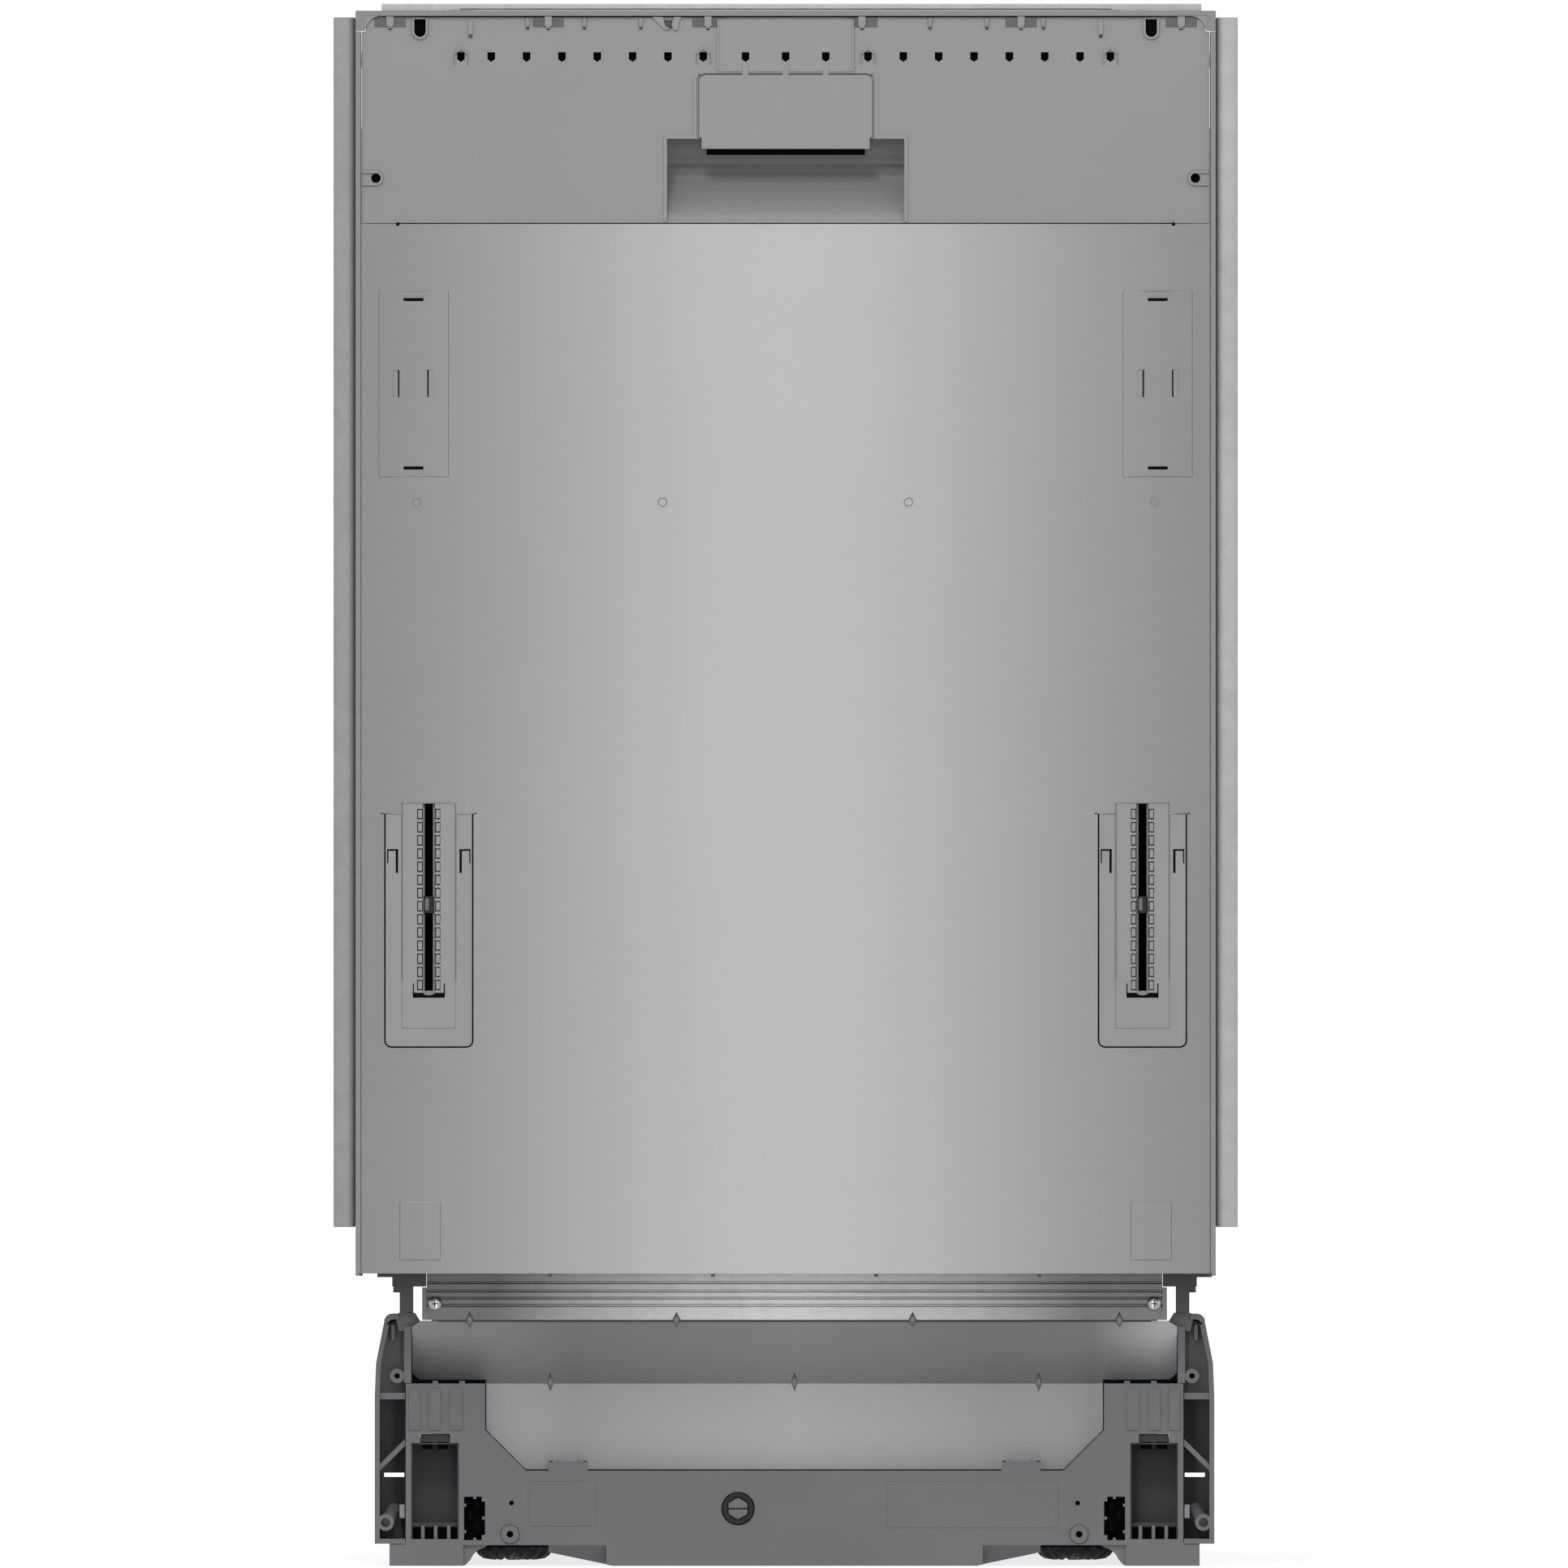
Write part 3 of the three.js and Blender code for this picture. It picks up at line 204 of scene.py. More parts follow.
M = {
    "steel": brushed("front_steel", 0.188, 0.31, bump=0.012, rough_swing=0.012),
    "stainless": brushed("tub_steel", 0.60, 0.32, along="z"),
    "sieve": perforated("filter_sieve", 0.42, 3.2),
    "zinc": spangled("zinc_sheet", 0.30, 0.42),
    # The crossmember's colour runs from dark at its ends to light near its middle: painted shade towards the
    # ends and a painted highlight in the middle.
    "ribbed": shade_ramp(spangled("ribbed_zinc_painted_light", 0.36, 0.45, metallic=0.45), "x",
                         [(-200, 0.42), (-150, 0.40), (-110, 0.9), (-50, 1.42), (10, 1.54), (60, 1.28),
                          (100, 1.12), (155, 0.50), (200, 0.50)]),
    # The toe plate's colour is a little lighter above its bend, varies along its length and is much lighter
    # near its right-hand end: painted light, which also lifts the shadow beside the right-hand tower.
    "toe": shade_ramp(shade_ramp(brushed("toe_zinc_painted_light", 0.30, 0.45, metallic=0.3, bump=0.02), "z",
                                 [(50, 0.85), (94.2, 0.87), (95.2, 0.89), (128, 0.88)]), "x",
                      [(-200, 1.20), (-150, 1.15), (-110, 0.95), (-60, 1.08), (5, 1.20), (60, 1.08),
                       (110, 0.95), (160, 1.0), (195, 2.1)]),
    # One zinc on all three trim strips, its tone set apart per strip as painted light and shade: darker on
    # the left strip, lighter on the right and top strips.
    "left_zinc": spangled("left_strip_zinc_painted_shade", 0.225, 0.5),
    "right_zinc": spangled("right_strip_zinc_painted_light", 0.30, 0.5),
    "top_zinc": spangled("top_strip_zinc_painted_light", 0.41, 0.5),
    "fascia": procedural("grey_abs", grey(0.228, 0.010), grey(0.244, 0.004), 0.5, patch=6, grain=1600),
    "bar": procedural("strip_abs", grey(0.195, 0.008), grey(0.207, 0.004), 0.5, patch=6, grain=1600),
    "pale": procedural("pale_pom", grey(0.38), grey(0.41), 0.45, patch=14, grain=1500, bump=0.04),
    "rail": procedural("rail_pom", grey(0.245), grey(0.262), 0.45, patch=14, grain=1500, bump=0.04),
    "base": procedural("filled_polypropylene", grey(0.112, 0.03), grey(0.130, 0.022), 0.55, patch=12,
                       grain=1100, bump=0.12),
    # A darker grey for the pocket linings, painted shade inside the base's pockets; the boss rings use it
    # too.
    "pocket": procedural("pocket_shade_polypropylene", grey(0.055, 0.03), grey(0.064, 0.02), 0.6, patch=20,
                         bump=0.1, specular=0.25),
    "dark": procedural("dark_polypropylene", grey(0.030, 0.02), grey(0.042, 0.01), 0.5, patch=20, bump=0.1),
    "black": procedural("black_nylon", grey(0.007), grey(0.012), 0.45, patch=25, bump=0.12, specular=0.2),
    # Black for the dark seams, slots and holes, and for the black sheets behind openings that are painted
    # shade.
    "shadow": procedural("seam_and_shade_black", grey(0.003), grey(0.006), 0.9, patch=30, bump=0.05, specular=0.02),
    "clip": procedural("clip_nylon", grey(0.09), grey(0.11), 0.45, patch=25, bump=0.12),
    "socket_grey": procedural("recess_grey", grey(0.06), grey(0.075), 0.7, patch=20, bump=0.05, specular=0.2),
    # A darker grey for the flat plates over the fascia's clip recesses: painted shade.
    "recess": procedural("clip_recess_shade_grey", grey(0.115), grey(0.13), 0.7, patch=20, bump=0.05, specular=0.2),
    "pale_edge": procedural("rail_edge_grey", grey(0.14), grey(0.16), 0.6, patch=20, bump=0.05),
    "faint_edge": procedural("rail_faint_edge", grey(0.20), grey(0.215), 0.6, patch=20, bump=0.05),
    "rubber": procedural("epdm_rubber", grey(0.022), grey(0.034), 0.8, patch=30, grain=1500, bump=0.25),
    "white": procedural("white_polypropylene", grey(0.66), grey(0.74), 0.4, patch=10, bump=0.05),
    "wire": procedural("nylon_coated_wire", grey(0.33, 0.02), grey(0.37, 0.02), 0.35, patch=15, bump=0.08,
                       coat=0.15),
    "arm": procedural("spray_arm_polypropylene", grey(0.27, 0.01), grey(0.30, 0.01), 0.4, patch=12,
                      bump=0.06),
    "motor": procedural("motor_steel", grey(0.34), grey(0.42), 0.38, metallic=0.9, patch=30, bump=0.1),
    "screw": procedural("bright_zinc_screw", grey(0.42), grey(0.55), 0.3, metallic=1.0, patch=300, bump=0.05),
    "felt": felt("bitumen_felt"),
    "glass": procedural("display_glass", grey(0.006), grey(0.010), 0.08, patch=10, bump=0.0, coat=0.4),
    "copper": procedural("copper_wire", (0.50, 0.20, 0.09), (0.62, 0.27, 0.13), 0.35, metallic=1.0, patch=60),
    "hose": procedural("hose_rubber", grey(0.05), grey(0.07), 0.6, patch=20, bump=0.15),
}


# ---------------------------------------------------------------- shapes
AXES = {"x": (1, 2, 0), "y": (0, 2, 1), "z": (0, 1, 2)}


def on_axis(axis, a, b, c):
    """The point with in-plane coordinates a and b, and c along the axis."""
    point = [0.0, 0.0, 0.0]
    first, second, along = AXES[axis]
    point[first] = a
    point[second] = b
    point[along] = c
    return Vector(point)


class Shape:
    """Closed solids gathered into one piece; their points are measured from a face y and a middle x."""

    def __init__(self, y=0.0, x=0.0):
        self.mesh = bmesh.new()
        self.origin = Vector((x, y, 0))

    def box(self, x0, x1, y0, y1, z0, z1):
        outline = [(x0, y0), (x1, y0), (x1, y1), (x0, y1)]
        return self.prism("z", outline, z0, z1)

    def slab(self, x, half, y0, y1, z0, z1):
        """A box by the middle and half of its width."""
        return self.box(x - half, x + half, y0, y1, z0, z1)

    def cross(self, x, z, y0, y1, half, reach):
        """The cross slot of a screw that faces along y."""
        self.slab(x, reach, y0, y1, z - half, z + half)
        self.slab(x, half, y0, y1, z - reach, z + reach)

    def loft(self, rings, closed=False):
        """Joins rings of equally many points; the ends are capped unless the rings close on themselves."""
        rows = [[self.mesh.verts.new((Vector(p) + self.origin) * MM) for p in ring] for ring in rings]
        count = len(rows[0])
        faces = []
        pairs = list(zip(rows, rows[1:]))
        if closed:
            pairs.append((rows[-1], rows[0]))
        for low, high in pairs:
            for i in range(count):
                j = (i + 1) % count
                faces.append(self.mesh.faces.new((low[i], low[j], high[j], high[i])))
        if not closed:
            faces.append(self.mesh.faces.new(list(reversed(rows[0]))))
            faces.append(self.mesh.faces.new(rows[-1]))
        bmesh.ops.recalc_face_normals(self.mesh, faces=faces)
        return self

    def prism(self, axis, outline, c0, c1):
        return self.loft([[on_axis(axis, a, b, c) for a, b in outline] for c in (c0, c1)])

    def rod(self, axis, centre, r, length, sides=24, r_end=None):
        first, second, along = AXES[axis]
        a, b, c = centre[first], centre[second], centre[along]
        rings = []
        for radius, place in ((r, c - length / 2), (r if r_end is None else r_end, c + length / 2)):
            rings.append([on_axis(axis, a + p, b + q, place) for p, q in circle(radius, sides)])
        return self.loft(rings)

    def lathe(self, axis, centre, profile, sides=32):
        """Turns a closed profile of (radius, place along the axis) about the axis."""
        first, second, _ = AXES[axis]
        a, b = centre[first], centre[second]
        rings = []
        for p, q in circle(1, sides):
            rings.append([on_axis(axis, a + p * r, b + q * r, c) for r, c in profile])
        return self.loft(rings, closed=True)

    def ring(self, axis, centre, r_in, r_out, length, sides=28):
        c = centre[AXES[axis][2]]
        low, high = c - length / 2, c + length / 2
        return self.lathe(axis, centre, [(r_in, low), (r_out, low), (r_out, high), (r_in, high)], sides)

    def tube(self, path, r, sides=8):
        """A round bar along a path of points."""
        points = [Vector(p) for p in path]
        rings = []
        guide = None
        for i, point in enumerate(points):
            ahead = points[min(i + 1, len(points) - 1)] - points[max(i - 1, 0)]
            ahead.normalize()
            if guide is None:
                guide = Vector((0, 0, 1)) if abs(ahead.z) < 0.9 else Vector((1, 0, 0))
            across = ahead.cross(guide).normalized()
            guide = across.cross(ahead).normalized()
            rings.append([point + across * p + guide * q for p, q in circle(r, sides)])
        return self.loft(rings)

    def piece(self, name, body, material, bevel, slot=None, replaces=()):
        """Makes the object; bevel rounds its edges by that many millimetres."""
        mesh = bpy.data.meshes.new(name)
        self.mesh.to_mesh(mesh)
        self.mesh.free()
        obj = bpy.data.objects.new(name, mesh)
        bpy.context.scene.collection.objects.link(obj)
        mesh.materials.append(M[material])
        finish_edges(obj, bevel)
        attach(obj, body)
        if replaces:
            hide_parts(*replaces)
        return obj


def shapes(count, y=0.0, x=0.0):
    """Several empty shapes with the same origin."""
    return [Shape(y, x) for _ in range(count)]


def circle(r, sides, start=0.0):
    """Points round a circle, from the angle start."""
    angles = [start + 2 * math.pi * i / sides for i in range(sides)]
    return [(r * math.cos(a), r * math.sin(a)) for a in angles]


def arc(cx, cz, r, start, end, steps):
    """Points along an arc between two angles in degrees."""
    points = []
    for i in range(steps + 1):
        a = math.radians(start + (end - start) * i / steps)
        points.append((cx + r * math.cos(a), cz + r * math.sin(a)))
    return points


def rounded(x0, x1, z0, z1, r, steps=4):
    """The outline of a rectangle with round corners."""
    return [
        *arc(x1 - r, z0 + r, r, -90, 0, steps), *arc(x1 - r, z1 - r, r, 0, 90, steps),
        *arc(x0 + r, z1 - r, r, 90, 180, steps), *arc(x0 + r, z0 + r, r, 180, 270, steps),
    ]


def bent(points, r, steps=3):
    """A path of straight runs whose corners are rounded."""
    points = [Vector(p) for p in points]
    path = [points[0]]
    for before, corner, after in zip(points, points[1:], points[2:]):
        start = corner + (before - corner).normalized() * r
        end = corner + (after - corner).normalized() * r
        for i in range(steps + 1):
            t = i / steps
            path.append(start * (1 - t) ** 2 + corner * (2 * t * (1 - t)) + end * t ** 2)
    path.append(points[-1])
    return path


def spaced(first, last, count):
    """Evenly spaced values, both ends included."""
    return [first + (last - first) * i / (count - 1) for i in range(count)]


def finish_edges(obj, bevel):
    """Rounds the edges by a bevel in millimetres, and smooths the shading."""
    if bevel:
        rounding = obj.modifiers.new("edges", "BEVEL")
        rounding.width = bevel * MM
        rounding.segments = 2
        rounding.limit_method = "ANGLE"
        rounding.angle_limit = math.radians(30)
    obj.data.polygons.foreach_set("use_smooth", [True] * len(obj.data.polygons))
    shading = obj.modifiers.new("shading", "WEIGHTED_NORMAL")
    shading.keep_sharp = True


def dress(node, material, bevel=0.3):
    """Gives a CAD node its material, and rounds its edges without touching its mesh."""
    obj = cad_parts[node]
    obj.data.materials.clear()
    obj.data.materials.append(M[material])
    bpy.context.view_layer.objects.active = obj
    bpy.ops.mesh.customdata_custom_splitnormals_clear()
    weld = obj.modifiers.new("weld", "WELD")
    weld.merge_threshold = 0.002 * MM
    flat = obj.modifiers.new("flat", "DECIMATE")
    flat.decimate_type = "DISSOLVE"
    flat.angle_limit = math.radians(0.5)
    if bevel:
        finish_edges(obj, bevel)
    else:
        obj.data.polygons.foreach_set("use_smooth", [False] * len(obj.data.polygons))


# ---------------------------------------------------------------- door: the fittings under the top edge
VENT_Z = 786.6
HOODED_VENTS = (42.9, 169.1)
RIM_TOP = FASCIA_HIGH.z
BOSS_WALL = 1.25
TOP_BOSS = (190.4, 799.95, 2.95)               # place across, height and inner radius of the screw bosses
SIDE_BOSS = (213.4, 723.5, 2.6)


def fascia_clips():
    """Sockets and tabs that hold the control strip to the fascia; the sockets are flat darker plates, painted
    shade for the clip recesses.
    """
    sockets, tabs, holes = shapes(3, FASCIA_FACE)
    for x in (-206, -123.6, -40.4, 39.7, 122.6, 206):
        sockets.slab(x, 8.2, -0.12, 1, 802, RIM_TOP + 0.9)
        tabs.slab(x, 1.9, -1, 0.5, 802.6, RIM_TOP + 1.5)
        tabs.slab(x, 1.3, -0.7, 0.5, 801.5, 802.8)
        holes.rod("y", (x, -0.1, 801.4), 1.0, 0.5, 12)
    sockets.piece("fascia_clip_sockets", "door", "recess", 0.1)
    for x in (-134.4, -104.8, -75.4, 75.2, 104.8, 134.2):
        tabs.rod("z", (x, 0.2, 804.9), 1.5, 3.6, 16)
        tabs.rod("z", (x, 0.2, 802.6), 0.9, 1.2, 16, 1.5)
        holes.rod("y", (x, -0.1, 801.7), 1.0, 0.5, 12)
    for x in (-164.1, 164.1):
        tabs.prism("y", rounded(x - 1.3, x + 1.3, 798.2, RIM_TOP, 1.2), -0.9, 0.5)
        holes.rod("y", (x, -0.1, 797.4), 1.1, 0.5, 12)
    tabs.piece("fascia_clip_tabs", "door", "fascia", 0.2)
    holes.piece("fascia_clip_holes", "door", "socket_grey", 0)


def fascia_latch():
    """The hooked release that holds the handle's cable, left of the middle."""
    top = RIM_TOP + 1.2
    near = [(-69.5, top), (-64, top), (-62.5, 802.6), (-60.6, 801.6), (-60.4, 800.6), (-63.6, 800.9)]
    far = [(-58.2, top), (-54.2, top), (-55.6, 804.2), (-56.4, 800.4), (-58.4, 800.6), (-59.4, 803.4)]
    hooks = Shape(FASCIA_FACE)
    hooks.prism("y", near, -1, 0.5)
    hooks.prism("y", far, -1.2, 0.5)
    hooks.piece("cable_hooks", "door", "fascia", 0.2)
    gap = Shape(FASCIA_FACE)
    opening = [(-65.4, 805.8), (-57.6, 805.8), (-58.8, 801.8), (-61.4, 800.2), (-63.6, 802.4)]
    gap.prism("y", opening, -0.1, 0.4)
    gap.piece("cable_hook_gap", "door", "socket_grey", 0)


def fascia_bosses():
    """Raised rims round the open screw bosses at the fascia's top and sides, and their dark outlines."""
    rims, outlines = shapes(2, FASCIA_FACE)
    for _, side in SIDES:
        x, z, r = side * TOP_BOSS[0], TOP_BOSS[1], TOP_BOSS[2]
        wide = r + BOSS_WALL
        outer = [(x + wide, RIM_TOP), *reversed(arc(x, z, wide, 180, 360, 10)), (x - wide, RIM_TOP)]
        inner = [(x - r, RIM_TOP), *arc(x, z, r, 180, 360, 10), (x + r, RIM_TOP)]
        rims.prism("y", outer + inner, -1.3, 0.4)
        ends = [(x - wide, RIM_TOP - 1), *arc(x, z, wide, 180, 360, 12), (x + wide, RIM_TOP - 1)]
        outlines.tube([(a, 0, b) for a, b in ends], 0.28, 6)
        x, z, r = side * SIDE_BOSS[0], SIDE_BOSS[1], SIDE_BOSS[2]
        wide = r + BOSS_WALL
        edge = side * 220.4
        turn = (90, 270) if side > 0 else (-90, 90)
        bow = arc(x, z, wide, *turn, 10)
        back = list(reversed(arc(x, z, r, *turn, 10)))
        outline = [(edge, bow[0][1]), *bow, (edge, bow[-1][1]),
                   (edge, back[0][1]), *back, (edge, back[-1][1])]
        rims.prism("y", outline, -1.3, 0.4)
        bow = arc(x, z, wide, *turn, 12)
        ends = [(side * 219.6, bow[0][1]), *bow, (side * 219.6, bow[-1][1])]
        outlines.tube([(a, 0, b) for a, b in ends], 0.28, 6)
        fillet = [(219.2, 807.95), (219.2, 800), *arc(210.6, 799.5, 8.4, 0, 90, 8)]
        rims.prism("y", [(side * x, z) for x, z in fillet], -1.3, 0.6)
    for x in (-35, 35):
        rims.slab(x, 0.5, -1.1, 0, 779.2, RIM_TOP - 0.4)
    rims.piece("fascia_boss_rims", "door", "fascia", 0.42)
    outlines.piece("fascia_boss_outlines", "door", "pale_edge", 0)


def fascia_backing():
    """Black walls behind the fascia's openings, painted shade that makes them read as deep, and the lip under
    the control strip.
    """
    back = Shape(FASCIA_FACE)
    back.box(-176, 176, 3.1, 3.9, VENT_Z - 4.5, VENT_Z + 4.5)
    for _, side in SIDES:
        back.slab(side * TOP_BOSS[0], 4.4, 3.1, 3.9, 795, RIM_TOP)
        back.slab(side * SIDE_BOSS[0], 2.6, 2.2, 2.9, 720.8, 726.2)
    back.box(-41.3, 41.3, 25.8, 26.8, 735.9, 759.8)
    back.box(-41.3, 41.3, 6.2, 26, 738.9, 739.4)
    back.piece("fascia_backing", "door", "shadow", 0)
    lip = Shape(FASCIA_FACE)
    lip.box(-217.5, 217.5, 0.7, 2.6, RIM_TOP + 0.05, STRIP_LOW.z + 6.9)
    lip.piece("fascia_top_lip", "door", "fascia", 0.1)


def vent_hoods():
    """Small gabled hoods over four of the vents."""
    hoods = Shape(FASCIA_FACE)
    for place in HOODED_VENTS:
        for _, side in SIDES:
            x = side * place
            roof = [(-3.9, 788.6), (0, 792.0), (3.9, 788.6), (3.1, 787.8), (0, 790.4), (-3.1, 787.8)]
            hoods.prism("y", [(x + u, z) for u, z in roof], -1.3, 0.3)
            for edge in (-3.6, 3.6):
                hoods.slab(x + edge, 0.4, -0.7, 0.3, 782.6, 788)
    hoods.piece("vent_hoods", "door", "fascia", 0.35)


def grip_ridges():
    """The moulded edge round the grip recess and the handle plate's ribs."""
    ridges = Shape(FASCIA_FACE)
    half, bottom, top = 61.7, FASCIA_LOW.z + 0.7, 743.9
    outer, near, far = half + 2, HANDLE_HIGH.x + 1, HANDLE_HIGH.x + 3
    rise = HANDLE_HIGH.z - 1
    outline = [(half, bottom), (outer, bottom), (outer, top + 2), (far, top + 2), (far, rise), (near, rise),
               (near, top), (half, top)]
    for _, side in SIDES:
        ridges.prism("y", [(side * x, z) for x, z in outline], -0.6, 0.3)
    for x in (-20.9, 0, 20.9):
        ridges.slab(x, 1.7, -0.9, 0.3, HANDLE_HIGH.z - 0.2, 783.6)
    ridges.piece("grip_ridges", "door", "fascia", 0.3)
    groove = Shape(FASCIA_FACE)
    half = HANDLE_HIGH.x - 2.4
    for x0, x1 in ((-half, -22.8), (-19, -1.9), (1.9, 19), (22.8, half)):
        groove.box(x0, x1, -0.1, 0.3, HANDLE_HIGH.z + 0.1, HANDLE_HIGH.z + 0.75)
    groove.piece("handle_groove", "door", "socket_grey", 0)


def door_seams():
    """Dark joints between the fascia, the steel front and the door's side edges, and the tabs below."""
    seam, edges, tabs = shapes(3, FACE)
    z = SHEET_HIGH.z if SHEET_HIGH.z < 750 else FASCIA_LOW.z - 0.15
    seam.box(-202, 202, FASCIA_FACE - FACE - 0.15, 1.2, z - 0.42, z + 0.42)
    low = SHEET_LOW.z
    for _, side in SIDES:
        seam.rod("y", (side * 202, 0.4, z - 0.2), 1.0, 1.2, 12)
        edges.slab(side * 221.1, 0.22, -0.03, 0.5, low + 0.4, 799)
        edges.slab(side * 221.1, 0.9, -0.05, 0.5, low, low + 1.4)
        for u in (42.5, 127.5):
            tabs.slab(BASE_MIDDLE + side * u, 1.1, -0.1, 4, low - 0.35, low + 1)
    seam.piece("fascia_seam", "door", "shadow", 0)
    edges.piece("door_edge_seams", "door", "socket_grey", 0)
    tabs.piece("door_bottom_tabs", "door", "dark", 0.1)


# ---------------------------------------------------------------- door: fixings for the furniture door
def panel_tongues():
    """The two fixing panels: spring tongues in upright slots, pressed edges and lines, and the dimples."""
    tongues, beads, lines, rims, slots, edges = shapes(6, FACE)
    slot_low, slot_high = 609.6, 623.6
    for _, side in SIDES:
        for near in (183.2, 201.9):
            tongues.box(side * near, side * (near + 2.7), 0.1, 0.9, slot_low, slot_high)
        for x0, x1, z0, z1 in ((175.8, 211.6, 568.1, 664.7), (179.9, 200.7, 160.4, 190.3)):
            for x in (x0, x1):
                beads.slab(side * x, 0.3, -0.39, 0.3, z0, z1)
            for z in (z0, z1):
                beads.box(side * x0, side * x1, -0.39, 0.3, z - 0.3, z + 0.3)
        for z in (570.9, 661.8):
            lines.box(side * 186, side * 202, -0.39, 0, z, z + 0.3)
        for x in (64, 192.1):
            rims.ring("y", (side * x, -0.05, 554.8), 1.9, 2.5, 0.5, 24)
        # black plates just behind the fixing slots: painted shade, so the slots read as deep
        for z in (660.7, 572.8):
            slots.slab(side * 194, 5.2, 0.15, 1.3, z - 0.85, z + 0.85)
        for x0, x1, upright in ((183.1, 185.8, 183.1), (201.7, 204.6, 204.6)):
            for z in (slot_low, slot_high):
                edges.box(side * x0, side * x1, -0.08, 0.3, z - 0.15, z + 0.15)
            edges.slab(side * upright, 0.2, -0.08, 0.3, slot_low, slot_high)
    tongues.piece("fixing_tongues", "door", "steel", 0.12)
    beads.piece("pressed_panel_edges", "door", "steel", 0.28)
    lines.piece("fixing_press_lines", "door", "socket_grey", 0)
    rims.piece("dimple_rims", "door", "faint_edge", 0.15)
    slots.piece("fixing_slot_backs", "door", "shadow", 0)
    edges.piece("fixing_tongue_edges", "door", "faint_edge", 0)


RAIL_CENTRE = 185.8
RAIL_HALF = 22.9


def rail_fittings(name, side):
    """The dark joint round a bracket rail, its hooks, its scale and its bottom stop."""
    face = FACE + 0.1
    x = side * RAIL_CENTRE
    inner, outer = RAIL_CENTRE - RAIL_HALF, RAIL_CENTRE + RAIL_HALF
    low, top, r = 271, 392.3, 3.4
    joint = Shape(face)
    path = [(inner - 1.9, top + 0.3), (inner, top + 0.1), (inner, low + r),
            *arc(inner + r, low + r, r, 180, 270, 5), *arc(outer - r, low + r, r, 270, 360, 5),
            (outer, top + 0.1), (outer + 1.9, top + 0.3)]
    joint.tube([(side * u, -0.02, z) for u, z in path], 0.42, 8)
    for toward in (-1, 1):
        thick, thin = RAIL_CENTRE + toward * 16.6, RAIL_CENTRE + toward * 21.4
        for u, width, bottom in ((thick, 0.62, 361.7), (thin, 0.32, 366.8)):
            joint.slab(side * u, width, -0.06, 0.5, bottom, 374.1)
        joint.box(side * (thick - toward * 0.6), side * (thin + toward * 0.3), -0.06, 0.5, 373.2, 374.1)
        joint.slab(x + toward * 8.05, 0.3, -0.06, 0.5, 297, 304.2)
    stop = [(-8.2, 296.7), (8.2, 296.7), (8.2, 299.3), (3.4, 299.3), (2, 298.2), (0, 297.9), (-2, 298.2),
            (-3.4, 299.3), (-8.2, 299.3)]
    joint.prism("y", [(x + u, z) for u, z in stop], -0.06, 0.5)
    joint.piece(f"rail_joint_{name}", "door", "shadow", 0)

    closing = Shape(FACE)
    for u0, u1, z in ((inner + 0.6, RAIL_CENTRE - 13.9, 392.2), (RAIL_CENTRE + 13.9, outer - 0.6, 392.2),
                      (RAIL_CENTRE - 14.4, RAIL_CENTRE + 14.4, 397.8)):
        closing.box(side * u0, side * u1, 0, 0.9, z, z + 0.6)
    closing.piece(f"rail_top_edge_{name}", "door", "steel", 0)

    edges, faint = shapes(2, face)
    for u in (-13.95, 13.95):
        edges.slab(x + u, 0.5, -0.04, 0.4, 306, 397.9)
        faint.slab(x + u, 0.3, -0.04, 0.4, 280.9, 306)
    faint.slab(x, 13.9, -0.04, 0.4, 280.5, 281.1)
    edges.piece(f"rail_panel_edges_{name}", "door", "pale_edge", 0)
    faint.piece(f"rail_foot_edges_{name}", "door", "faint_edge", 0, slot="grey_plastic")

    # the dark wells behind the scale's rungs are painted shade between them
    wells, ladder = shapes(2, face)
    for u in (-4.7, 4.7):
        wells.slab(x + u, 1.6, 1.2, 1.7, 300.6, 397)
        for row in range(14):
            z = 300.5 + 6.85 * row
            ladder.box(x + u - 0.9, x + u + 1.1, 0.2, 1.5, z + 0.65, z + 4.9)
    wells.piece(f"rail_scale_wells_{name}", "door", "socket_grey", 0)
    ladder.piece(f"rail_scale_{name}", "door", "rail", 0.15)

    # a black channel behind the rail's slot: painted shade inside the slot
    channel = Shape(face)
    for wall in (-2, 2):
        channel.slab(x + wall, 0.08, 0.1, 12.4, 300.4, 397.6)
    channel.slab(x, 2.05, 11.6, 12.4, 300.4, 397.6)
    channel.piece(f"rail_channel_{name}", "door", "shadow", 0)
    grip = Shape(face)
    grip.prism("y", rounded(x - 2.0, x + 0.1, 342.2, 348.6, 0.5), 0.02, 0.5)
    grip.piece(f"rail_clip_grip_{name}", f"rail_clip_{name}", "clip", 0.15)


# ---------------------------------------------------------------- door: control strip and inner side
def strip_controls():
    """A small display and three lamps beside the buttons on the door's top edge."""
    top = STRIP_HIGH.z
    screen = Shape()
    screen.prism("z", [(x, y - 257) for x, y in rounded(-46, 46, -6, 6, 2)], top - 0.6, top + 0.12)
    screen.piece("display_window", "door", "glass", 0.1)
    lamps = Shape()
    for x in (-140, -126, -112, 112, 126, 140):
        lamps.rod("z", (x, -257, top - 0.1), 1.3, 0.5, 16)
    lamps.piece("indicator_lamps", "door", "white", 0.1)


def top_strip_groove():
    """The fine groove along the front of the strip on top."""
    low, _ = span("top_strip")
    groove = Shape()
    groove.box(-170, 170, low.y - 0.06, low.y + 0.3, 812.0, 812.5)
    groove.piece("top_strip_groove", "cabinet", "socket_grey", 0)


